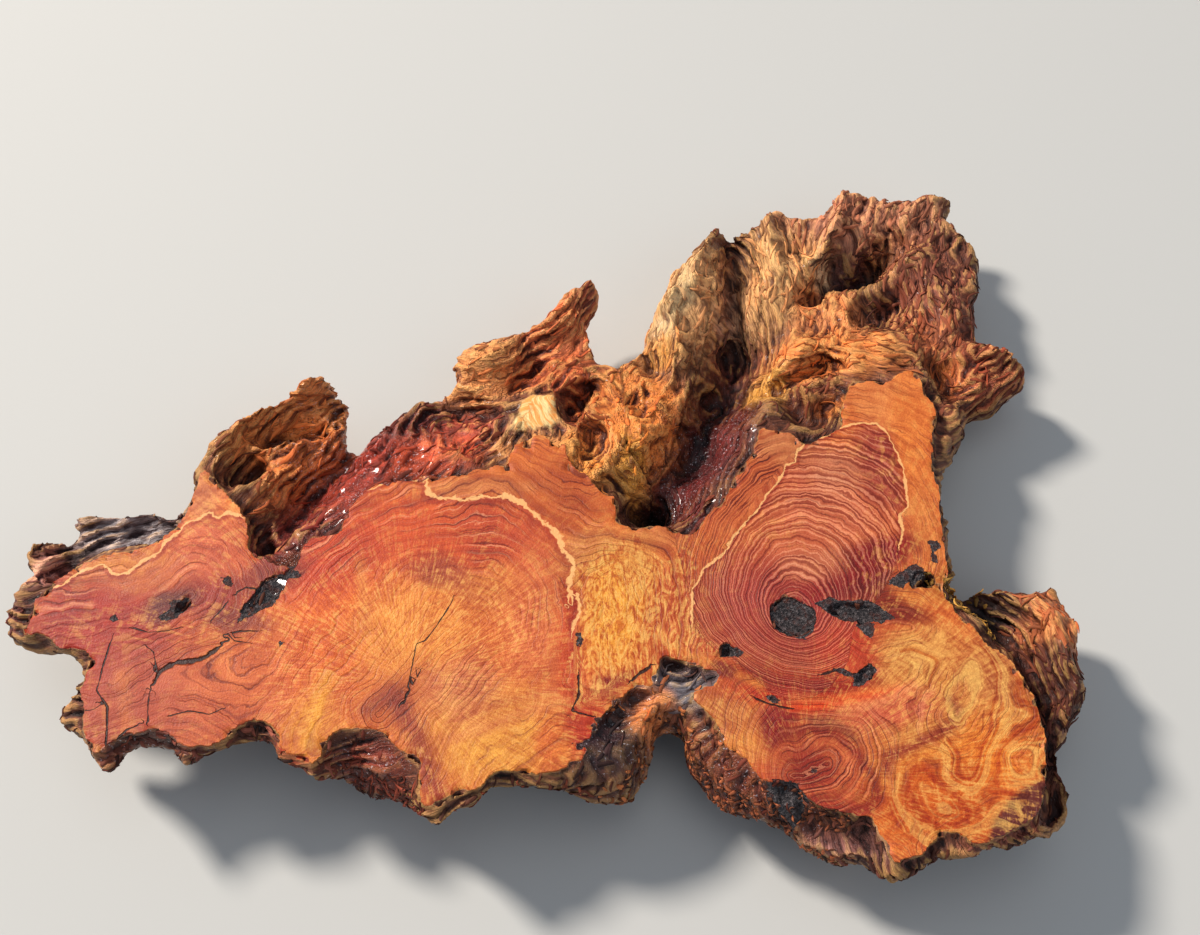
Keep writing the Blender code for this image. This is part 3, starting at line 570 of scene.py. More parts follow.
class FibreSettings(bpy.types.PropertyGroup):
    """The loose fibres."""

    count: IntProperty(name="Fibres", description="How many splinters lie on the unsawn wood", default=1800)
    seed: IntProperty(name="Seed", description="Changes how the fibres fall", default=5)


class StageSettings(bpy.types.PropertyGroup):
    """Floor, light and camera."""

    floor_size: length_setting("Floor", "Side of the square floor", 40)
    floor_tint: tint_setting("Floor tint", "Colour of the floor", (0.78, 0.77, 0.75))
    camera_distance: length_setting("Camera distance", "Distance from the camera to the sawn face", 1.1333)
    camera_elevation: FloatProperty(
        name="Camera elevation", description="Camera's angle above the horizon", default=math.radians(60),
        subtype="ANGLE",
    )
    lens: FloatProperty(name="Lens", description="Focal length in millimetres", default=40)


class BurlSettings(bpy.types.PropertyGroup):
    """All settings of the burl."""

    wood: PointerProperty(type=WoodSettings)
    fibres: PointerProperty(type=FibreSettings)
    stage: PointerProperty(type=StageSettings)


def linear(colour):
    """A colour as screens state it, turned into the linear values that the materials work in."""
    return [c / 12.92 if c <= 0.04045 else ((c + 0.055) / 1.055) ** 2.4 for c in colour]


def smooth_step(share):
    share = np.clip(share, 0, 1)
    return share * share * (3 - 2 * share)


def only(thing):
    """Selects one object and nothing else."""
    bpy.ops.object.select_all(action="DESELECT")
    bpy.context.view_layer.objects.active = thing
    thing.select_set(True)


def apply_modifier(thing, kind, **settings):
    """Adds a modifier, sets it and applies it."""
    only(thing)
    modifier = thing.modifiers.new(kind.title(), kind)
    for name, value in settings.items():
        setattr(modifier, name, value)
    bpy.ops.object.modifier_apply(modifier=modifier.name)


def plan_of(co):
    """Plan positions in millimetres from the drawing's zero."""
    return (co[:, :2] - PLAN_ZERO) / MM


def along_line(places, line, closed=False):
    """For each place: distance to the line, the side it lies on as plus or minus, and how far along it is."""
    ends = list(zip(line, line[1:] + line[:1])) if closed else list(zip(line, line[1:]))
    best = np.full(len(places), np.inf)
    side = np.ones(len(places))
    along = np.zeros(len(places))
    travelled = 0.0
    for a, b in ends:
        a = np.array(a, float)
        run = np.array(b, float) - a
        length = float(np.hypot(*run))
        off = places - a
        share = np.clip(off @ run / length**2, 0, 1)
        apart = np.hypot(*(off - share[:, None] * run).T)
        nearer = apart < best
        best = np.where(nearer, apart, best)
        side = np.where(nearer, np.sign(run[0] * off[:, 1] - run[1] * off[:, 0] + 1e-9), side)
        along = np.where(nearer, travelled + share * length, along)
        travelled += length
    return best, side, along


def depth_in(places, outline):
    """Distance to a closed outline in millimetres, plus inside and minus outside."""
    apart, _, _ = along_line(places, outline, closed=True)
    x, y = places.T
    crossed = np.zeros(len(places), bool)
    for (x0, y0), (x1, y1) in zip(outline, outline[1:] + outline[:1]):
        if y0 != y1:
            crossed ^= ((y0 > y) != (y1 > y)) & (x < (x1 - x0) * (y - y0) / (y1 - y0) + x0)
    return np.where(crossed, apart, -apart)


def nearest_line(places, lines):
    """Signed and plain distance to the nearest of several lines, each counted in its own half widths."""
    signed = np.full(len(places), 50.0)
    plain = np.full(len(places), 50.0)
    for line, half_width in lines:
        apart, side, _ = along_line(places, line)
        apart = apart / half_width
        nearer = apart < plain
        signed = np.where(nearer, apart * side, signed)
        plain = np.where(nearer, apart, plain)
    return signed, plain


def noise_at(points):
    return np.array([noise.noise(Vector(p)) for p in points])


def ridges_at(points, octaves=3):
    """Sharp ridges, mostly between 0 and 1."""
    sharp = [noise.ridged_multi_fractal(Vector(p), 1.0, 2.1, octaves, 0.9, 2.0) for p in points]
    return np.array(sharp) * 0.5


def wander(co, size, shift):
    """Two noises of one size, as an offset in plan."""
    return np.stack([noise_at(co / size), noise_at(co / size + shift)], 1)


def laid_over(colour, tint, share):
    """The colours with a tint over them, by each point's own share."""
    return colour * (1 - share[:, None]) + np.array(linear(tint)) * share[:, None]


def patched(places, base, patches, warp):
    """The base values with each patch laid over them softly, its edge wandering a little."""
    values = np.tile(np.array(base, float), (len(places), 1))
    wandered = places + warp
    for x, y, reach, across, turn, patch, strength in patches:
        c, s = math.cos(math.radians(turn)), math.sin(math.radians(turn))
        off = wandered - (x, y)
        reached = (off @ (c, s) / reach) ** 2 + (off @ (-s, c) / across) ** 2
        share = (strength * np.exp(-0.7 * reached**2))[:, None]
        values = values * (1 - share) + np.array(patch) * share
    return values


def painted(places, base, tints, warp):
    """The base colour with each tint laid over it."""
    return patched(places, linear(base), [(*tint[:5], linear(tint[5]), tint[6]) for tint in tints], warp)


def streaked(places, colour, streaks):
    """The colour with each soft-edged path over it."""
    for line, half_width, tint, strength in streaks:
        apart, _, _ = along_line(places, line)
        colour = laid_over(colour, tint, strength * np.exp(-0.7 * (apart / half_width) ** 2))
    return colour


def patched_over(places, colour, patches):
    """The colour with each clear-edged patch over it."""
    for outline, tint, strength in patches:
        colour = laid_over(colour, tint, strength * smooth_step(depth_in(places, outline) / 3 + 0.5))
    return colour


def ring_fields(places, co):
    """Growth-ring fields in millimetres of the left lobe, of the large eye and of the lower right."""

    def grown_together(growths):
        reach = [along_line(wavy, core)[0] + held for core, held in growths]
        return -RING_BLEND * np.log(sum(np.exp(-(r - 400) / RING_BLEND) for r in reach)) + 400

    slow = wander(co, 62 * MM, (5, 1, 7))
    quick = wander(co, 17 * MM, (3, 8, 1))
    wavy = places + slow * 17 + quick * 4.5
    off = places - EYE_CENTRE
    apart = np.hypot(*off.T)
    off = off + (slow * 7 + quick * 3.2) * np.minimum(apart / 70, 1)[:, None]
    eye = np.hypot(*off.T) - EYE_STRETCH * (off @ EYE_POINTS_TO)
    return grown_together(LEFT_GROWTHS), eye, grown_together(LOW_GROWTHS)


def polar(places, centre):
    """Angle and distance round a centre, with the angle's jump straight below it."""
    off = places - centre
    return np.arctan2(off[:, 0], off[:, 1]), np.hypot(*off.T)


def set_attribute(mesh, name, values):
    """Stores a number, or up to three, for each point of the mesh."""
    values = np.asarray(values, np.float32)
    if values.ndim == 2:
        values = np.pad(values, ((0, 0), (0, 3 - values.shape[1])))
    kind, key = ("FLOAT", "value") if values.ndim == 1 else ("FLOAT_VECTOR", "vector")
    attribute = mesh.attributes.new(name, kind, "POINT")
    attribute.data.foreach_set(key, values.ravel())


def points_of(mesh):
    """The mesh's points and their normals."""
    co = np.empty(len(mesh.vertices) * 3, np.float32)
    mesh.vertices.foreach_get("co", co)
    normals = np.empty(len(mesh.vertices) * 3, np.float32)
    mesh.vertex_normals.foreach_get("vector", normals)
    return co.reshape(-1, 3).astype(float), normals.reshape(-1, 3).astype(float)


def place_points(mesh, co):
    mesh.vertices.foreach_set("co", co.astype(np.float32).ravel())
    mesh.update()


def relaxed(values, edges, rounds):
    """Each point's value averaged with its neighbours' over several rounds."""
    count = len(values)
    ends = np.concatenate([edges, edges[:, ::-1]])
    shared = np.bincount(ends[:, 0], minlength=count)[:, None] + 1.0
    for _ in range(rounds):
        totals = [np.bincount(ends[:, 0], part[ends[:, 1]], count) for part in values.T]
        values = (values + np.stack(totals, 1)) / shared
    return values


def edges_of(mesh):
    edges = np.empty(len(mesh.edges) * 2, np.int64)
    mesh.edges.foreach_get("vertices", edges)
    return edges.reshape(-1, 2)


def strands_of(places, z):
    """Place along and across the strands, and a number for the guide line that they follow."""
    across = np.full(len(places), np.inf)
    along = np.zeros(len(places))
    guide = np.zeros(len(places))
    for number, line in enumerate(STRAND_GUIDES):
        apart, side, travelled = along_line(places, line)
        nearer = apart < np.abs(across)
        across = np.where(nearer, apart * side, across)
        along = np.where(nearer, travelled, along)
        guide = np.where(nearer, number, guide)
    return along, across + 0.8 * z / MM, guide


def bent_strands(places, co):
    """The strands' fields with their wandering, which is stronger where the wood shows its layers."""
    along, across, guide = strands_of(places, co[:, 2])
    layered = patched(places, [0.25], LAYERED, np.zeros_like(places))[:, 0]
    bend = noise_at(co / (26 * MM)) * 9 + noise_at(co / (11 * MM)) * 2.5
    return along, across + bend * (0.45 + 0.55 * layered), guide


def largest_body(piece):
    """The largest of the piece's loose bodies. The others, scraps of a few points, are dropped."""
    name = piece.name
    only(piece)
    bpy.ops.object.mode_set(mode="EDIT")
    bpy.ops.mesh.select_all(action="SELECT")
    bpy.ops.mesh.separate(type="LOOSE")
    bpy.ops.object.mode_set(mode="OBJECT")
    bodies = sorted(bpy.context.selected_objects, key=lambda body: len(body.data.vertices))
    for scrap in bodies[:-1]:
        bpy.data.objects.remove(scrap)
    bodies[-1].name = name
    return bodies[-1]


def fine_copy(settings):
    """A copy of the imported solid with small, even faces, coarser underneath."""
    piece = bpy.data.objects.new("burl_wood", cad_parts["burl"].data.copy())
    bpy.context.scene.collection.objects.link(piece)
    piece.data.materials.clear()
    only(piece)
    bpy.ops.object.mode_set(mode="EDIT")
    bpy.ops.mesh.select_all(action="SELECT")
    bpy.ops.mesh.remove_doubles(threshold=0.01 * MM)
    bpy.ops.object.mode_set(mode="OBJECT")
    co, normals = points_of(piece.data)
    for x, y, reach in THIN_PLACES:
        near = smooth_step(1.5 - np.hypot(*(plan_of(co) - (x, y)).T) / reach)
        co += normals * (near * THICKENED_BY)[:, None]
    place_points(piece.data, co)
    apply_modifier(piece, "REMESH", mode="VOXEL", voxel_size=settings.voxel)
    piece = largest_body(piece)
    co, normals = points_of(piece.data)
    hidden = (normals[:, 2] < -0.25) & (co[:, 2] < SAWN_HEIGHT - 25 * MM)
    under = piece.vertex_groups.new(name="underside")
    under.add(np.flatnonzero(hidden).tolist(), 1.0, "REPLACE")
    keep = 1 - UNDERSIDE_DROPPED * hidden.mean()
    apply_modifier(piece, "DECIMATE", ratio=keep, vertex_group="underside")
    co, _ = points_of(piece.data)
    softer = piece.vertex_groups.new(name="unsawn")
    softer.add(np.flatnonzero(co[:, 2] < SAWN_HEIGHT - SAWN_EDGE).tolist(), 1.0, "REPLACE")
    apply_modifier(piece, "SMOOTH", vertex_group="unsawn", iterations=6)
    piece.vertex_groups.clear()
    return piece


def reach_to(co, targets):
    """Distance in plan from each point to the nearest of the targets."""
    tree = kdtree.KDTree(len(targets))
    for number, (x, y, _) in enumerate(targets):
        tree.insert((x, y, 0), number)
    tree.balance()
    return np.array([tree.find((x, y, 0))[2] for x, y, _ in co])


def chipped(co, sawn, rim, strand, settings):
    """How far each point of the sawn face is torn away, and which points that leaves sawn."""
    inward = np.full(len(co), 1.0)
    inward[sawn] = reach_to(co[sawn], co[rim])
    near = np.flatnonzero(sawn & (inward < 2 * settings.chip_reach))
    torn = ridges_at(strand[near] / CHIP_SIZE + (8, 3, 0), 2) + 0.8 * noise_at(co[near] / (11 * MM))
    bitten = settings.chip_reach * (torn - 0.55) - inward[near]
    depth = np.zeros(len(co))
    depth[near] = np.where(bitten > 0, 1.2 * MM + 0.7 * bitten, 0)
    return depth, sawn & (depth == 0)


def pit_floors(co, places, sawn):
    """Raises the floors of the pits to a little below the sawn face."""
    deep = np.max([depth_in(places, INCLUSIONS[number]) for number in OPEN_PITS], axis=0)
    within = ~sawn & (deep > -PIT_WALL)
    floor = SAWN_HEIGHT - (2.2 + 0.62 * np.maximum(deep, 0)) * MM + noise_at(co / (4 * MM)) * 2.4 * MM
    co[within, 2] = np.maximum(co[within, 2], floor[within])


def work_surface(piece, settings):
    """Works the unsawn surface into folds, strands and steps, and tears the rim of the flat sawn face."""
    mesh = piece.data
    co, normals = points_of(mesh)
    sawn = co[:, 2] > SAWN_HEIGHT - SAWN_EDGE
    co[sawn, 2] = SAWN_HEIGHT
    edges = edges_of(mesh)
    rim = np.zeros(len(co), bool)
    crossing = edges[sawn[edges[:, 0]] != sawn[edges[:, 1]]]
    rim[crossing.ravel()] = True
    places = plan_of(co)
    wild = smooth_step((SAWN_HEIGHT - 1.5 * MM - co[:, 2]) / (6 * MM))
    under = smooth_step((-normals[:, 2] - 0.1) / 0.4)
    lowest = np.where(normals[:, 2] > 0, np.minimum(co[:, 2], 7 * MM), 0)
    along, across, guide = bent_strands(places, co)
    strand = np.stack([along, across, guide * 7.3], 1)
    folds = ridges_at(strand / FOLD_SIZE)
    strands = ridges_at(strand / STRAND_SIZE + (3.1, 0, 0), 2)
    crumbs = noise_at(co / (6 * MM))
    steps = (strand[:, 1] + 5 * noise_at(co / (30 * MM))) / STEP_SPACING
    stepped = smooth_step(np.abs((steps % 1) - 0.5) * 2) - 0.5
    uneven = np.clip(0.65 + 1.3 * noise_at(co / (34 * MM) + (2, 7, 4)), 0.1, 1.5)
    push = settings.strand_height * (strands - 0.6) + settings.step_height * stepped
    push = push * uneven + settings.fold_height * (folds - 0.5) + 1.1 * MM * crumbs
    push *= wild * (1 - 0.5 * under) * (1 - smooth_step(depth_in(places, PALE_STEP) / 4 + 0.4))
    depth, kept = chipped(co, sawn, rim & sawn, strand, settings)
    co += normals * push[:, None]
    ragged = noise_at(co / (5 * MM))[:, None] * settings.rim_raggedness * rim[:, None]
    co[:, :2] += normals[:, :2] * ragged
    co[~sawn, 2] = np.minimum(co[~sawn, 2], SAWN_HEIGHT - 1.0 * MM)
    pit_floors(co, places, sawn)
    co[:, 2] = np.maximum(co[:, 2], lowest)
    co[sawn, 2] = SAWN_HEIGHT - depth[sawn]
    place_points(mesh, co)
    return kept


def record_places(piece, sawn):
    """Stores on the mesh what the finish needs to know about each point."""
    mesh = piece.data
    co, normals = points_of(mesh)
    places = plan_of(co)
    edges = edges_of(mesh)
    warp = wander(co, 22 * MM, (9, 4, 2)) * 7
    face = streaked(places, painted(places, FACE_BASE, FACE_TINTS, warp), FACE_STREAKS)
    face = patched_over(places + warp * 0.4, face, FACE_PATCHES)
    wild = painted(places, WILD_BASE, WILD_TINTS, warp)
    # Painted shade: the unsawn wood darkened towards the floor, under the overhanging sawn face
    lower = smooth_step((SAWN_HEIGHT - 45 * MM - co[:, 2]) / (30 * MM))[:, None]
    wild = wild * (1 - 0.55 * lower)
    steep = smooth_step((0.55 - normals[:, 2]) / 0.4)
    wild = laid_over(wild, WILD_BACK, 0.5 * steep * smooth_step((normals[:, 1] - 0.2) / 0.4))
    # Painted shade on the steep walls that face the front
    wild = laid_over(wild, WILD_FRONT_PAINTED_SHADE, 0.75 * steep * smooth_step((-normals[:, 1] - 0.1) / 0.4))
    frayed = places + warp * 0.7 + noise_at(co / (5 * MM))[:, None] * 4
    pale = smooth_step(depth_in(frayed, PALE_STEP) / 2 + 0.3)
    wild = laid_over(wild, PALE_STEP_TINT, pale)
    set_attribute(mesh, "face_tint", face)
    set_attribute(mesh, "wild_tint", wild)
    set_attribute(mesh, "rings", np.stack(ring_fields(places, co), 1) * MM)
    set_attribute(mesh, "figure", patched(places, FIGURE_BASE, FIGURES, warp))
    in_eye = np.maximum(depth_in(places, EYE_REGION), depth_in(places, BAND_REGION))
    shares = [in_eye, depth_in(places, LOW_REGION), depth_in(places, CURLY_REGION)]
    set_attribute(mesh, "regions", np.stack(shares, 1) * MM)
    turn_left, out_left = polar(places, LEFT_GROWTHS[0][0][1])
    turn_low, out_low = polar(places, LOW_GROWTHS[0][0][0])
    curly = depth_in(places, CURLY_REGION) > 0
    right = places[:, 0] > 75
    turn = np.where(curly, places[:, 0] * 1.1, np.where(right, turn_low, turn_left) * 110)
    out = np.where(curly, places[:, 1], np.where(right, out_low, out_left))
    set_attribute(mesh, "rays", np.stack([turn, out], 1) * MM)
    set_attribute(mesh, "corner", depth_in(places, CURLY_CORNER) * MM)
    bark = np.max([depth_in(places, outline) for outline in INCLUSIONS], axis=0)
    bark = np.minimum(bark, -depth_in(places, BARE_CHIP))
    set_attribute(mesh, "bark_depth", bark * MM)
    set_attribute(mesh, "eye_depth", depth_in(places, EYE_REGION) * MM)
    signed, plain = nearest_line(places, CRACKS)
    pale_signed, pale_plain = nearest_line(places, PALE_LINES)
    set_attribute(mesh, "cracks", np.stack([signed, plain], 1))
    set_attribute(mesh, "pale_lines", np.stack([pale_signed, pale_plain], 1))
    along, across, guide = bent_strands(places, co)
    set_attribute(mesh, "strand", np.stack([along, across, guide * 20], 1) * MM)
    # How far each point lies below its neighbours, near and farther out: the finish darkens hollows with it
    # as painted shade and brightens crests as painted highlights
    near = relaxed(co, edges, 3)
    far = relaxed(near, edges, 14)
    cavity = ((near - co) * normals).sum(1) * 0.9 + ((far - co) * normals).sum(1) * 0.35
    set_attribute(mesh, "cavity", cavity / MM)
    soft = relaxed(sawn.astype(float)[:, None], edges, 1)[:, 0]
    set_attribute(mesh, "sawn", np.where(sawn, np.maximum(soft, 0.55), np.minimum(soft, 0.45)))
    set_attribute(mesh, "wet", patched(places, [0.1], WET_PLACES, warp)[:, 0])
    set_attribute(mesh, "layered", patched(places, [0.25], LAYERED, warp)[:, 0])
    set_attribute(mesh, "clean", pale)


def put(tree, kind, inputs=None, **settings):
    """Adds a shader node. Its inputs are values or other nodes' outputs, by name or number."""
    made = tree.nodes.new(kind)
    for name, value in settings.items():
        setattr(made, name, value)
    for key, value in (inputs or {}).items():
        if isinstance(value, bpy.types.NodeSocket):
            tree.links.new(value, made.inputs[key])
        else:
            made.inputs[key].default_value = value
    return made


def calc(tree, operation, *values):
    """A Math node's output."""
    return put(tree, "ShaderNodeMath", dict(enumerate(values)), operation=operation).outputs[0]


def times(tree, first, *others):
    """The product of several values."""
    for other in others:
        first = calc(tree, "MULTIPLY", first, other)
    return first


def times_plus(tree, first, second, added):
    """The product of two values, plus a third."""
    return calc(tree, "MULTIPLY_ADD", first, second, added)


def centred(tree, value):
    """A value from 0 to 1 as one from -0.5 to 0.5."""
    return calc(tree, "SUBTRACT", value, 0.5)


def rest(tree, share):
    """What a share leaves of 1."""
    return calc(tree, "SUBTRACT", 1.0, share)


def spread(tree, value, low, high, out_low=0.0, out_high=1.0):
    """A value mapped smoothly from one range to another."""
    inputs = {"Value": value, "From Min": low, "From Max": high, "To Min": out_low, "To Max": out_high}
    return put(tree, "ShaderNodeMapRange", inputs, interpolation_type="SMOOTHSTEP").outputs["Result"]


def mixed(tree, share, first, second):
    """A Mix node's number."""
    return put(tree, "ShaderNodeMix", {0: share, 2: first, 3: second}).outputs[0]


def blend(tree, share, first, second, kind="MIX"):
    """A Mix node's colour."""
    inputs = {0: share, 6: first, 7: second}
    return put(tree, "ShaderNodeMix", inputs, data_type="RGBA", blend_type=kind).outputs[2]


def towards(tree, share, colour, tint):
    """The colour moved towards a tint, by a share."""
    return blend(tree, share, colour, (*linear(tint), 1))


def multiplied(tree, share, colour, factor):
    """The colour multiplied by a factor, by a share."""
    return blend(tree, share, colour, (*factor, 1), "MULTIPLY")


def held(tree, name, output="Fac"):
    """A value that is stored on the mesh."""
    return put(tree, "ShaderNodeAttribute", attribute_name=name).outputs[output]


def place_in(tree):
    """The place on the object, in metres."""
    return put(tree, "ShaderNodeTexCoord").outputs["Object"]


def parts_of(tree, vector):
    return put(tree, "ShaderNodeSeparateXYZ", {0: vector}).outputs


def scaled(tree, vector, scale):
    """A vector multiplied part by part."""
    return put(tree, "ShaderNodeVectorMath", {0: vector, 1: scale}, operation="MULTIPLY").outputs[0]


def lengthened(tree, vector, factor):
    """A vector multiplied by one number."""
    return put(tree, "ShaderNodeVectorMath", {0: vector, 3: factor}, operation="SCALE").outputs[0]


def speckle(tree, vector, scale, detail=2.0, roughness=0.5, distortion=0.0):
    """A noise from 0 to 1."""
    inputs = {
        "Vector": vector, "Scale": scale, "Detail": detail, "Roughness": roughness, "Distortion": distortion,
    }
    return put(tree, "ShaderNodeTexNoise", inputs).outputs["Fac"]


def line_noise(tree, steps, scale, detail=3.0):
    """A noise from 0 to 1 along one number."""
    inputs = {"W": steps, "Scale": scale, "Detail": detail}
    return put(tree, "ShaderNodeTexNoise", inputs, noise_dimensions="1D").outputs["Fac"]


def new_group(name, inputs, outputs):
    """An empty shader group with number inputs, given with their defaults, and number outputs."""
    tree = bpy.data.node_groups.new(name, "ShaderNodeTree")
    for label, default in inputs.items():
        kind = "NodeSocketVector" if isinstance(default, tuple) else "NodeSocketFloat"
        tree.interface.new_socket(label, in_out="INPUT", socket_type=kind).default_value = default
    for label in outputs:
        tree.interface.new_socket(label, in_out="OUTPUT", socket_type="NodeSocketFloat")
    return tree, tree.nodes.new("NodeGroupInput").outputs, tree.nodes.new("NodeGroupOutput")


def give(tree, out, **values):
    """Joins a group's outputs to their values and returns the group."""
    for label, value in values.items():
        tree.links.new(value, out.inputs[label])
    return tree


def ring_group():
    """Growth rings: thin lines and slow bands along a field, wandering a little and fading in places."""
    tree, given, out = new_group(
        "Growth rings", {"Field": 0.0, "Spacing": 0.005, "Wander": 0.001, "Fineness": 95.0, "Detail": 3.0},
        ("Line", "Band", "Fine"),
    )
    here = place_in(tree)
    sway = centred(tree, speckle(tree, here, given["Fineness"], given["Detail"]))
    field = times_plus(tree, sway, given["Wander"], given["Field"])
    steps = calc(tree, "DIVIDE", field, given["Spacing"])
    phase = times_plus(tree, line_noise(tree, steps, 0.31, 2.0), 3.0, steps)
    to_line = calc(tree, "PINGPONG", phase, 0.5)
    fade = spread(tree, speckle(tree, here, 26, 3, 0.6), 0.36, 0.6)
    return give(
        tree, out,
        Line=times(tree, spread(tree, to_line, 0.16, 0.0), fade),
        Band=spread(tree, line_noise(tree, steps, 0.8), 0.3, 0.7),
        Fine=spread(tree, line_noise(tree, steps, 1.9), 0.3, 0.7),
    )


def broken_edge_group():
    """A mask with a broken edge from a depth: 1 well inside and 0 outside."""
    inputs = {"Depth": 0.0, "Raggedness": 0.002, "Fineness": 260.0}
    tree, given, out = new_group("Broken edge", inputs, ("Mask",))
    sway = centred(tree, speckle(tree, place_in(tree), given["Fineness"], 3, 0.65))
    depth = times_plus(tree, sway, given["Raggedness"], given["Depth"])
    return give(tree, out, Mask=spread(tree, depth, -0.0003, 0.0003))


def thin_line_group():
    """A thin line, and a band along its inner side, from two stored distances counted in half widths."""
    inputs = {"Signed": 50.0, "Plain": 50.0, "Sway": 0.8}
    tree, given, out = new_group("Thin line", inputs, ("Mask", "Inner"))
    here = place_in(tree)
    quick = centred(tree, speckle(tree, here, 230, 3))
    slow = centred(tree, speckle(tree, here, 62, 3))
    moved = times_plus(tree, times_plus(tree, slow, 1.6, quick), given["Sway"], given["Signed"])
    width = spread(tree, speckle(tree, here, 95, 3), 0.3, 0.7, 0.35, 1.3)
    off = calc(tree, "DIVIDE", calc(tree, "ABSOLUTE", moved), width)
    gate = spread(tree, given["Plain"], 7.0, 5.0)
    inner = times(tree, spread(tree, moved, -0.6, -1.3), spread(tree, moved, -4.2, -2.2))
    mask = spread(tree, off, 1.5, 0.6)
    return give(tree, out, Mask=times(tree, mask, gate), Inner=times(tree, inner, gate))


def fibre_group():
    """Fibres that run along the strands: broad ones and fine ones."""
    tree, given, out = new_group("Fibres", {"Strand": (0.0, 0.0, 0.0)}, ("Broad", "Fine"))
    broad = speckle(tree, scaled(tree, given["Strand"], (45, 300, 30)), 1.0, 3, 0.6, 0.6)
    fine = speckle(tree, scaled(tree, given["Strand"], (110, 1100, 60)), 1.0, 2, 0.65)
    return give(tree, out, Broad=spread(tree, broad, 0.32, 0.68), Fine=spread(tree, fine, 0.32, 0.68))


def cell_group():
    """Overlapping splinters as long cells: the height of each point, and each splinter's own tone."""
    inputs = {"Strand": (0.0, 0.0, 0.0), "Size": 1.0}
    tree, given, out = new_group("Splinter cells", inputs, ("Height", "Tone", "Gap"))
    swirl = {"Vector": place_in(tree), "Scale": 70.0, "Detail": 1.5}
    bent = scaled(tree, put(tree, "ShaderNodeTexNoise", swirl).outputs["Color"], (0.012, 0.012, 0.0))
    moved = put(tree, "ShaderNodeVectorMath", {0: given["Strand"], 1: bent}, operation="ADD").outputs[0]
    cells = lengthened(tree, scaled(tree, moved, (56, 270, 40)), given["Size"])
    own = put(tree, "ShaderNodeTexVoronoi", {"Vector": cells, "Scale": 1.0}).outputs
    tone = parts_of(tree, own["Color"])[0]
    return give(
        tree, out, Height=times_plus(tree, own["Distance"], -1.2, tone), Tone=tone,
        Gap=spread(tree, own["Distance"], 0.54, 0.88),
    )


def layer_group():
    """Worn growth layers: overlapping steps that wander along the strands, each with a tone of its own."""
    inputs = {"Strand": (0.0, 0.0, 0.0), "Spacing": 0.004, "Wander": 0.012}
    tree, given, out = new_group("Worn layers", inputs, ("Height", "Tone", "Gap"))
    here = place_in(tree)
    slow = centred(tree, speckle(tree, here, 26, 3, 0.6))
    quick = centred(tree, speckle(tree, here, 120, 3, 0.65))
    across = parts_of(tree, given["Strand"])[1]
    field = times_plus(tree, times_plus(tree, slow, 2.4, quick), given["Wander"], across)
    steps = calc(tree, "DIVIDE", field, given["Spacing"])
    phase = times_plus(tree, line_noise(tree, steps, 0.4, 2.0), 3.0, steps)
    share = calc(tree, "FRACT", phase)
    crest = times(tree, spread(tree, share, 0.0, 0.7), spread(tree, share, 1.0, 0.84))
    own = put(tree, "ShaderNodeTexWhiteNoise", {"W": calc(tree, "FLOOR", phase)}, noise_dimensions="1D")
    broken = speckle(tree, scaled(tree, given["Strand"], (60, 160, 60)), 1.0, 3, 0.6)
    patchy = spread(tree, broken, 0.3, 0.7)
    return give(
        tree, out, Height=crest,
        Tone=times_plus(tree, own.outputs["Value"], 0.6, times(tree, patchy, 0.4)),
        Gap=times(tree, spread(tree, share, 0.76, 0.97), spread(tree, broken, 0.34, 0.54)),
    )


def group_node(tree, group, inputs):
    return put(tree, "ShaderNodeGroup", inputs, node_tree=group).outputs


def new_material(name):
    material = bpy.data.materials.new(name)
    material.use_nodes = True
    return material, material.node_tree, material.node_tree.nodes["Principled BSDF"]


def within_range(tree, colour):
    """The colour scaled down where its red or green is over 1, so that it keeps its hue."""
    shares = parts_of(tree, colour)
    most = calc(tree, "MAXIMUM", calc(tree, "MAXIMUM", shares[0], shares[1]), 1.0)
    return lengthened(tree, colour, calc(tree, "DIVIDE", 1.0, most))


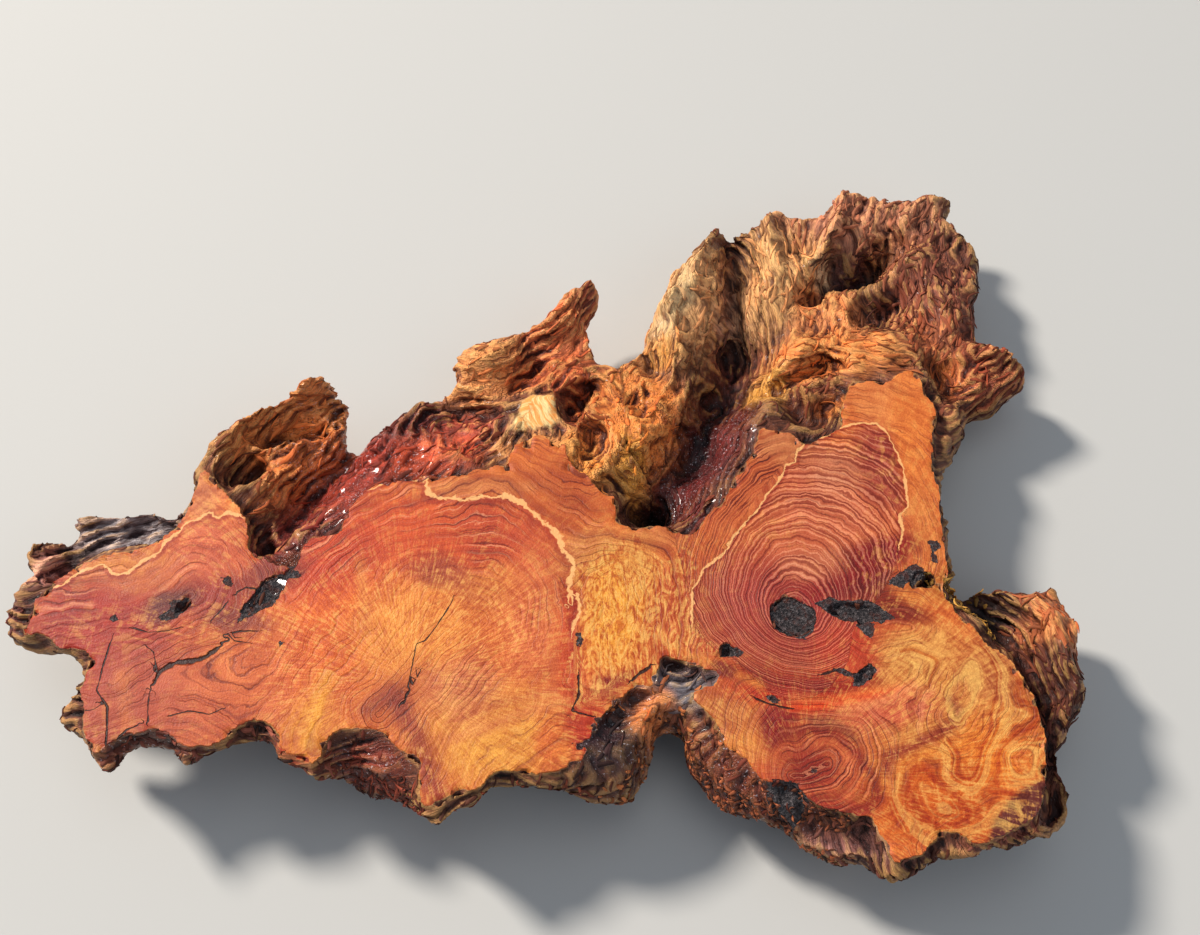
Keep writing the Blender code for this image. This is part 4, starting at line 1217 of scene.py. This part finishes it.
def sawn_look(tree, settings, groups):
    """Colour and height of the sawn face."""
    fields = parts_of(tree, held(tree, "rings", "Vector"))
    regions = parts_of(tree, held(tree, "regions", "Vector"))
    figure = parts_of(tree, held(tree, "figure", "Vector"))
    wide = settings.left_ring_spacing
    tight = settings.eye_ring_spacing

    def within(depth, raggedness=0.004, fineness=120.0):
        inputs = {"Depth": depth, "Raggedness": raggedness, "Fineness": fineness}
        return group_node(tree, groups["edge"], inputs)["Mask"]

    def rings(field, spacing, wander, fineness=95.0, detail=3.0):
        inputs = {
            "Field": field, "Spacing": spacing, "Wander": wander, "Fineness": fineness, "Detail": detail,
        }
        return group_node(tree, groups["rings"], inputs)

    def by_region(left, eyes, low):
        return mixed(tree, in_low, mixed(tree, in_eye, left, eyes), low)

    def curled(base, wave, mask):
        light = times(tree, spread(tree, wave, 0.45, 1.0, 0.0, 0.62), mask)
        lit_up = towards(tree, light, base, CURL_LIGHT)
        return multiplied(tree, times(tree, spread(tree, wave, 0.42, 0.0), mask), lit_up, CURL_SHADE)

    def thin_lines(name, sway):
        stored = parts_of(tree, held(tree, name, "Vector"))
        return group_node(tree, groups["line"], {"Signed": stored[0], "Plain": stored[1], "Sway": sway})

    in_eye = within(regions[0])
    in_low = within(regions[1])
    in_curl = within(regions[2], 0.03, 45.0)
    in_corner = within(held(tree, "corner"), 0.02, 45.0)
    eye_itself = within(held(tree, "eye_depth"))
    field = by_region(fields[0], fields[1], fields[2])
    kind = rings(field, by_region(wide, tight, wide * 0.62), by_region(0.006, 0.004, 0.005))
    line, band, fine = kind["Line"], kind["Band"], kind["Fine"]
    hair = rings(field, wide * 0.34, 0.002)["Line"]
    arcs = rings(field, wide * 1.1, 0.007)["Line"]
    swirl = rings(fields[2], wide * 1.7, 0.13, 16.0, 1.6)
    rays = held(tree, "rays", "Vector")
    streaks = speckle(tree, scaled(tree, rays, (420, 58, 1)), 1.0, 3, 0.6, 0.8)
    ripples = speckle(tree, scaled(tree, rays, (52, 105, 1)), 1.0, 3, 0.6, 1.4)
    flame = spread(tree, times_plus(tree, streaks, 0.55, times(tree, ripples, 0.45)), 0.36, 0.64)
    curl = spread(tree, speckle(tree, scaled(tree, rays, (95, 42, 1)), 1.0, 3, 0.62, 3.2), 0.34, 0.66)
    here = place_in(tree)
    mottle = spread(tree, speckle(tree, here, 30, 3, 0.62), 0.32, 0.68)
    felt = spread(tree, speckle(tree, here, 650, 2, 0.7), 0.35, 0.65)

    colour = multiplied(tree, times(tree, mottle, 0.60), held(tree, "face_tint", "Vector"), MOTTLE_SHADE)
    lit = times(tree, spread(tree, flame, 0.5, 1.0, 0.0, 0.62), figure[2])
    colour = towards(tree, lit, colour, FLAME_LIGHT)
    dim = times(tree, spread(tree, flame, 0.5, 0.0, 0.0, 0.8), figure[2])
    colour = multiplied(tree, dim, colour, FLAME_SHADE)
    colour = curled(colour, curl, times(tree, in_curl, 0.85))
    colour = curled(colour, swirl["Band"], times(tree, in_corner, 0.9))
    colour = multiplied(tree, times(tree, swirl["Line"], in_corner, 0.75), colour, SWIRL_SHADE)
    colour = multiplied(tree, times(tree, band, 0.70, figure[0]), colour, BAND_SHADE)
    colour = towards(tree, times(tree, arcs, 0.75, figure[1]), colour, ARC_LIGHT)
    colour = multiplied(tree, times(tree, line, 0.95, figure[0]), colour, LINE_SHADE)
    colour = multiplied(tree, times(tree, hair, 0.75, figure[0]), colour, HAIR_SHADE)
    eye_pale = times(tree, spread(tree, fine, 0.55, 0.95), eye_itself)
    colour = multiplied(tree, eye_pale, colour, EYE_LIFT)
    colour = towards(tree, times(tree, eye_pale, 0.26), colour, EYE_LIGHT)
    eye_dark = times(tree, spread(tree, fine, 0.45, 0.08), eye_itself, 0.80)
    colour = multiplied(tree, eye_dark, colour, EYE_SHADE)
    colour = multiplied(tree, times(tree, felt, 0.46), colour, FELT_SHADE)
    pale = thin_lines("pale_lines", 3.4)
    colour = multiplied(tree, times(tree, pale["Inner"], 0.75), colour, PALE_LINE_SHADE)
    colour = towards(tree, times(tree, pale["Mask"], 0.85), colour, settings.pale_tint)
    crack = thin_lines("cracks", 1.6)["Mask"]
    colour = towards(tree, times(tree, crack, 0.95), colour, settings.crack_tint)
    height = times_plus(tree, line, -0.22, times(tree, fine, 0.14))
    height = times_plus(tree, felt, -0.12, height)
    return colour, times_plus(tree, crack, -2.2, height)


def wild_look(tree, groups):
    """Colour and height of the unsawn wood, with painted highlights on its crests and painted shade in its
    gaps and hollows.
    """
    strand = held(tree, "strand", "Vector")
    cavity = held(tree, "cavity")
    layered = held(tree, "layered")
    clean = held(tree, "clean")
    rough = rest(tree, clean)
    dry = rest(tree, held(tree, "wet"))
    fibres = group_node(tree, groups["fibre"], {"Strand": strand})
    coarse = group_node(tree, groups["cells"], {"Strand": strand, "Size": 0.9})
    small = group_node(tree, groups["cells"], {"Strand": strand, "Size": 2.3})
    layers = group_node(tree, groups["layers"], {"Strand": strand, "Spacing": 0.0044, "Wander": 0.016})
    cell_tone = times_plus(tree, coarse["Tone"], 0.55, times(tree, small["Tone"], 0.45))
    tone = mixed(tree, layered, cell_tone, layers["Tone"])
    tone = times_plus(tree, fibres["Broad"], 0.30, times(tree, tone, 0.70))
    cell_gap = calc(tree, "MAXIMUM", times(tree, coarse["Gap"], 0.9), times(tree, small["Gap"], 0.6))
    gap = mixed(tree, layered, cell_gap, layers["Gap"])

    dark = times(tree, spread(tree, tone, 0.50, 0.18, 0.0, 0.85), rough)
    colour = multiplied(tree, dark, held(tree, "wild_tint", "Vector"), TONE_SHADE)
    bright = times(tree, spread(tree, tone, 0.44, 0.78), times_plus(tree, dry, 0.6, 0.4))
    colour = multiplied(tree, times(tree, bright, rough), colour, TONE_LIFT)
    # Painted highlights: crests, where the stored cavity is below zero, are brightened and moved towards pale
    # gold, less where the wood is wet
    crest = times(tree, spread(tree, cavity, 0.2, -1.0), rough)
    colour = within_range(tree, multiplied(tree, crest, colour, CREST_PAINTED_LIFT))
    colour = towards(tree, times(tree, crest, dry, 0.40), colour, CREST_PAINTED_HIGHLIGHT)
    # Painted shade in the gaps between splinters and at the foot of each worn step
    colour = multiplied(tree, times(tree, gap, rough, 0.85), colour, GAP_PAINTED_SHADE)
    # Painted shade: the tint darkened in the hollows that the stored cavity finds
    colour = multiplied(tree, times(tree, spread(tree, cavity, 0.25, 1.8), 0.90), colour, HOLLOW_PAINTED_SHADE)
    colour = multiplied(tree, spread(tree, fibres["Fine"], 0.4, 0.0, 0.0, 0.40), colour, FIBRE_SHADE)
    torn = times(tree, spread(tree, fibres["Broad"], 0.15, 0.75), clean, 0.85)
    colour = towards(tree, torn, colour, TORN_LIGHT)

    cell_height = times_plus(tree, coarse["Height"], 0.9, times(tree, small["Height"], 0.5))
    height = mixed(tree, layered, cell_height, times(tree, layers["Height"], 1.7))
    height = times(tree, height, times_plus(tree, rough, 0.8, 0.2))
    height = times_plus(tree, fibres["Fine"], 0.35, height)
    relief = spread(tree, speckle(tree, place_in(tree), 26, 3, 0.6), 0.36, 0.64, 0.5, 1.3)
    relief = times(tree, relief, times_plus(tree, dry, 0.7, 0.5))
    return colour, times(tree, height, relief)


def burl_material(settings):
    """The wood's finish: the sawn face and the weathered surface, joined along the sawn rim."""
    material, tree, shader = new_material("wetted redwood")
    groups = {
        "rings": ring_group(), "edge": broken_edge_group(), "line": thin_line_group(),
        "fibre": fibre_group(), "cells": cell_group(), "layers": layer_group(),
    }
    face, face_height = sawn_look(tree, settings, groups)
    wild, wild_height = wild_look(tree, groups)
    here = place_in(tree)
    wet = held(tree, "wet")
    grain = speckle(tree, here, 420, 3, 0.65)
    sawn = spread(tree, times_plus(tree, centred(tree, grain), 0.16, held(tree, "sawn")), 0.46, 0.54)
    unsawn = rest(tree, sawn)
    bark_edge = {
        "Depth": times_plus(tree, unsawn, 0.005, held(tree, "bark_depth")), "Raggedness": 0.009,
        "Fineness": 120.0,
    }
    bark = group_node(tree, groups["edge"], bark_edge)["Mask"]
    bark_speckle = spread(tree, grain, 0.38, 0.64)
    dust = blend(tree, bark_speckle, (*linear(settings.bark_tint), 1), (*linear(settings.bark_dust), 1))
    rusty = spread(tree, speckle(tree, here, 120, 3, 0.65), 0.5, 0.64, 0.0, 0.7)
    dust = towards(tree, rusty, dust, RUST)
    # Painted glints: pale specks in the colour of the wet places, standing in for highlights
    glints = times(tree, spread(tree, grain, 0.62, 0.68), wet, 0.7)
    wild = towards(tree, glints, wild, GLINT)
    tree.links.new(blend(tree, bark, blend(tree, sawn, wild, face), dust), shader.inputs["Base Color"])
    dull = times_plus(tree, wet, -0.42, 0.60)
    glossy = times_plus(tree, speckle(tree, here, 62, 3), 0.25, 0.38)
    roughness = calc(tree, "MAXIMUM", mixed(tree, sawn, dull, glossy), times(tree, bark, 0.62))
    tree.links.new(roughness, shader.inputs["Roughness"])
    tree.links.new(times(tree, wet, unsawn, 0.3), shader.inputs["Coat Weight"])
    shader.inputs["Coat Roughness"].default_value = 0.10
    shader.inputs["Specular IOR Level"].default_value = 0.32
    wild_height = times_plus(tree, times(tree, wet, grain), 2.6, wild_height)
    height = mixed(tree, sawn, wild_height, face_height)
    height = times_plus(tree, bark, times_plus(tree, bark_speckle, 2.4, -1.6), height)
    bump = put(tree, "ShaderNodeBump", {"Height": height, "Strength": 0.85, "Distance": 0.0011})
    tree.links.new(bump.outputs["Normal"], shader.inputs["Normal"])
    return material


def sliver(sides=6):
    """One splinter, a metre long along X and a metre across, thinner at both ends, as points and faces."""
    root_width = 0.64
    bpy.ops.object.select_all(action="DESELECT")
    bpy.ops.mesh.primitive_circle_add(
        vertices=sides, radius=root_width / 2, fill_type="NGON", location=(0, 0, 0),
        rotation=(0, math.pi / 2, 0),
    )
    shape = bpy.context.object
    bpy.ops.object.transform_apply(rotation=True)
    bpy.ops.object.mode_set(mode="EDIT")
    bpy.ops.mesh.select_all(action="SELECT")
    before = root_width
    for step in range(FIBRE_STEPS):
        width = math.sin(math.pi * (0.22 + 0.66 * (step + 1) / FIBRE_STEPS))
        bpy.ops.mesh.extrude_region_move(TRANSFORM_OT_translate={"value": (1 / FIBRE_STEPS, 0, 0)})
        bpy.ops.transform.resize(value=(1, width / before, width / before))
        before = width
    bpy.ops.mesh.select_all(action="SELECT")
    bpy.ops.mesh.quads_convert_to_tris()
    bpy.ops.mesh.normals_make_consistent(inside=False)
    bpy.ops.object.mode_set(mode="OBJECT")
    points, _ = points_of(shape.data)
    faces = [tuple(face.vertices) for face in shape.data.polygons]
    bpy.data.objects.remove(shape)
    return points, faces


def tangents_at(places):
    """The strands' direction in plan at each place."""
    step = 1.0
    here, _, _ = strands_of(places, np.zeros(len(places)))
    east, _, _ = strands_of(places + (step, 0), np.zeros(len(places)))
    north, _, _ = strands_of(places + (0, step), np.zeros(len(places)))
    run = np.stack([east - here, north - here], 1)
    run[np.hypot(*run.T) > 1.5] = (0.3, 0.9)
    run += (1e-3, 2e-3)
    return run / np.hypot(*run.T)[:, None]


def laid_along(seats, ways, length, lift, turns):
    """Lines that follow the wood from their seats and lift off at their ends, and the way up along each."""
    wood = bpy.data.objects["burl_wood"]
    lines = np.empty((len(seats), FIBRE_STEPS + 1, 3))
    ups = np.empty_like(lines)
    for number in range(len(seats)):
        place = Vector(seats[number])
        way = Vector(ways[number])
        for step in range(FIBRE_STEPS + 1):
            _, found, up, _ = wood.closest_point_on_mesh(place)
            way -= up * way.dot(up)
            way = way.normalized() if way.length > 0.05 else up.orthogonal().normalized()
            way.rotate(Quaternion(up, turns[number]))
            rise = 0.3 * MM + lift[number] * length[number] * (step / FIBRE_STEPS) ** 2
            lines[number, step] = found + up * rise
            ups[number, step] = up
            place = found + way * (length[number] / FIBRE_STEPS)
    return lines, ups


def scatter(name, lines, ups, widths, depths, tints):
    """One mesh of splinters, each along its line."""
    points, faces = sliver()
    count = len(lines)
    ring = np.round(points[:, 0] * FIBRE_STEPS).astype(int)
    ways = np.gradient(lines, axis=1)
    ways /= np.linalg.norm(ways, axis=2)[..., None] + 1e-9
    sides = np.cross(ups, ways)
    sides /= np.linalg.norm(sides, axis=2)[..., None] + 1e-9
    rises = np.cross(ways, sides)
    co = lines[:, ring] + sides[:, ring] * (points[:, 1] * widths[:, None])[..., None]
    co = (co + rises[:, ring] * (points[:, 2] * depths[:, None])[..., None]).reshape(-1, 3)
    co[:, 2] = np.clip(co[:, 2], 0.3 * MM, SAWN_HEIGHT - 0.6 * MM)
    corners = np.array(faces)[None] + np.arange(count)[:, None, None] * len(points)
    mesh = bpy.data.meshes.new(name)
    mesh.from_pydata(co.tolist(), [], corners.reshape(-1, 3).tolist())
    mesh.update()
    length = np.linalg.norm(lines[:, -1] - lines[:, 0], axis=1)
    along = (points[None, :, 0] * length[:, None]).ravel()
    across = (points[None, :, 1] * widths[:, None] + np.arange(count)[:, None] * 0.013).ravel()
    set_attribute(mesh, "wild_tint", np.repeat(tints, len(points), axis=0))
    set_attribute(mesh, "from_root", np.tile(points[:, 0], count))
    set_attribute(mesh, "strand", np.stack([along, across], 1))
    piece = bpy.data.objects.new(name, mesh)
    bpy.context.scene.collection.objects.link(piece)
    only(piece)
    bpy.ops.object.shade_smooth_by_angle(angle=math.radians(50))
    return piece


def wood_points():
    """The finished wood's points, normals, plan places and tints."""
    mesh = bpy.data.objects["burl_wood"].data
    co, normals = points_of(mesh)
    tints = np.empty(len(co) * 3, np.float32)
    mesh.attributes["wild_tint"].data.foreach_get("vector", tints)
    return co, normals, plan_of(co), tints.reshape(-1, 3).astype(float)


def surface_fibres(settings):
    """Splinters that lie along the strands of the unsawn wood."""
    chance = np.random.default_rng(settings.seed)
    co, normals, places, tints = wood_points()
    plenty, long, lift = patched(places, FIBRE_BASE, FIBRE_PLACES, np.zeros_like(places)).T
    open_to_sky = (co[:, 2] < SAWN_HEIGHT - 2.5 * MM) & (co[:, 2] > 12 * MM) & (normals[:, 2] > -0.15)
    weight = plenty * open_to_sky
    count = settings.count
    chosen = chance.choice(len(co), count, replace=False, p=weight / weight.sum())
    run = tangents_at(places[chosen]) * np.where(chance.random(count) < 0.5, -1, 1)[:, None]
    ways = np.stack([run[:, 0], run[:, 1], np.zeros(count)], 1) + chance.normal(0, 0.2, (count, 3))
    length = long[chosen] * chance.uniform(0.5, 1.4, count) * MM
    lines, ups = laid_along(
        co[chosen], ways, length, lift[chosen] * chance.uniform(0, 1.4, count), chance.normal(0, 0.14, count)
    )
    widths = chance.uniform(1.2, 4.2, count) * MM
    depths = chance.uniform(0.8, 2.0, count) * MM
    shade = chance.uniform(0.4, 1.2, count)[:, None]
    return scatter("surface_fibres", lines, ups, widths, depths, tints[chosen] * shade * (1.0, 0.86, 0.8))


def front_fringe(settings):
    """Torn splinters that hang from the front edge and stand in the notch."""
    chance = np.random.default_rng(settings.seed + 1)
    co, normals, places, _ = wood_points()
    groups = []
    for (x0, x1), (y0, y1), count, long, wide, lift, tint, way in FRINGES:
        within = (places[:, 0] > x0) & (places[:, 0] < x1) & (places[:, 1] > y0) & (places[:, 1] < y1)
        within &= (co[:, 2] > 30 * MM) & (co[:, 2] < SAWN_HEIGHT - 2 * MM) & (normals[:, 2] < 0.6)
        if not within.any():
            raise RuntimeError(f"no wood to hang splinters from between {x0} and {x1}")
        chosen = chance.choice(np.flatnonzero(within), count)
        ways = np.array(way) + chance.normal(0, 0.42, (count, 3))
        length = long * chance.uniform(0.4, 1.4, count) * MM
        lines, ups = laid_along(
            co[chosen], ways, length, lift * chance.uniform(0, 1.5, count), chance.normal(0, 0.22, count)
        )
        widths = wide * chance.uniform(0.35, 1.1, count) * MM
        # A random brightness for each splinter, mostly dark: the splinters' own tones, and painted shade
        # under the sawn edge, with a few left bright
        shade = chance.uniform(0.3, 1.1, count)[:, None] ** 2
        groups.append((lines, ups, widths, widths * 0.5, np.array(linear(tint)) * shade))
    return scatter("front_fringe", *(np.concatenate(part) for part in zip(*groups)))


def fibre_material():
    """Loose fibres: their own tint, darker at the root, with fine streaks along them."""
    material, tree, shader = new_material("torn redwood fibre")
    strand = held(tree, "strand", "Vector")
    streak = speckle(tree, scaled(tree, strand, (90, 1500, 1)), 1.0, 3, 0.6)
    dark = spread(tree, streak, 0.55, 0.3, 0.0, 0.7)
    colour = multiplied(tree, dark, held(tree, "wild_tint", "Vector"), STREAK_SHADE)
    root = spread(tree, held(tree, "from_root"), 0.35, 0.0, 0.0, 0.7)
    colour = multiplied(tree, root, colour, ROOT_SHADE)
    tree.links.new(colour, shader.inputs["Base Color"])
    shader.inputs["Roughness"].default_value = 0.7
    shader.inputs["Specular IOR Level"].default_value = 0.3
    bump = put(tree, "ShaderNodeBump", {"Height": streak, "Strength": 0.5, "Distance": 0.0006})
    tree.links.new(bump.outputs["Normal"], shader.inputs["Normal"])
    return material


class BURL_OT_wood(bpy.types.Operator):
    """Build the wood: the sawn face and the weathered lump under and behind it"""

    bl_idname = "burl.wood"
    bl_label = "Wood"

    def execute(self, context):
        settings = context.scene.burl.wood
        piece = fine_copy(settings)
        sawn = work_surface(piece, settings)
        record_places(piece, sawn)
        piece.data.materials.append(burl_material(settings))
        only(piece)
        bpy.ops.object.shade_smooth_by_angle(angle=math.radians(42))
        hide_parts("burl")
        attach(piece, "root")
        return {"FINISHED"}


class BURL_OT_fibres(bpy.types.Operator):
    """Build the loose fibres on the unsawn wood and along the torn front edge"""

    bl_idname = "burl.fibres"
    bl_label = "Loose fibres"

    def execute(self, context):
        settings = context.scene.burl.fibres
        material = fibre_material()
        for piece in (surface_fibres(settings), front_fringe(settings)):
            piece.data.materials.append(material)
            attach(piece, "root")
        return {"FINISHED"}


def area_light(name, place, target, size, power, tint):
    light = bpy.data.lights.new(name, "AREA")
    light.shape = "DISK"
    light.size = size
    light.energy = power
    light.color = tint
    lamp = bpy.data.objects.new(name, light)
    lamp.location = place
    lamp.rotation_euler = (Vector(target) - Vector(place)).to_track_quat("-Z", "Y").to_euler()
    bpy.context.scene.collection.objects.link(lamp)


class BURL_OT_stage(bpy.types.Operator):
    """Build the floor, the lights and the camera"""

    bl_idname = "burl.stage"
    bl_label = "Stage"

    def execute(self, context):
        settings = context.scene.burl.stage
        bpy.ops.object.select_all(action="DESELECT")
        bpy.ops.mesh.primitive_plane_add(size=settings.floor_size, location=(0, 0, 0))
        floor = context.object
        floor.name = "floor"
        material, _, shader = new_material("pale floor")
        shader.inputs["Base Color"].default_value = (*linear(settings.floor_tint), 1)
        shader.inputs["Roughness"].default_value = 0.8
        floor.data.materials.append(material)
        target = Vector((*PLAN_ZERO, SAWN_HEIGHT))
        area_light("key", (-6.3, 4.2, 6.6), target, 1.8, 1370, (1.0, 0.95, 0.88))
        area_light("fill", (2.4, -2.2, 3.0), target, 3.0, 22, (0.86, 0.93, 1.0))
        area_light("top", (0.4, 0.4, 4.4), target, 3.0, 14, (1.0, 1.0, 1.0))
        world = bpy.data.worlds.new("studio")
        world.use_nodes = True
        world.node_tree.nodes["Background"].inputs["Color"].default_value = (0.70, 0.82, 1.0, 1)
        world.node_tree.nodes["Background"].inputs["Strength"].default_value = 0.30
        context.scene.world = world
        camera = bpy.data.objects.new("camera", bpy.data.cameras.new("camera"))
        camera.data.lens = settings.lens
        camera.data.sensor_width = 36
        rise = settings.camera_elevation
        back = Vector((0, -math.cos(rise), math.sin(rise))) * settings.camera_distance
        camera.location = target + back
        camera.rotation_euler = (-back).to_track_quat("-Z", "Y").to_euler()
        context.scene.collection.objects.link(camera)
        context.scene.camera = camera
        context.scene.view_settings.view_transform = "Standard"
        return {"FINISHED"}


class BURL_PT_panel(bpy.types.Panel):
    """Lists the steps of the burl in the sidebar"""

    bl_label = "Redwood Burl"
    bl_space_type = "VIEW_3D"
    bl_region_type = "UI"
    bl_category = "Burl"

    def draw(self, context):
        for step in STEPS:
            self.layout.operator(step.bl_idname)
        for group in (context.scene.burl.wood, context.scene.burl.fibres, context.scene.burl.stage):
            box = self.layout.box()
            for name in group.bl_rna.properties.keys():
                if name not in {"rna_type", "name"}:
                    box.prop(group, name)


STEPS = (BURL_OT_wood, BURL_OT_fibres, BURL_OT_stage)
CLASSES = (WoodSettings, FibreSettings, StageSettings, BurlSettings, *STEPS, BURL_PT_panel)


def register():
    for each in CLASSES:
        bpy.utils.register_class(each)
    bpy.types.Scene.burl = PointerProperty(type=BurlSettings)


def unregister():
    del bpy.types.Scene.burl
    for each in reversed(CLASSES):
        bpy.utils.unregister_class(each)


def main():
    register()
    bpy.ops.burl.wood()
    bpy.ops.burl.fibres()
    bpy.ops.burl.stage()


if __name__ == "__main__":
    main()
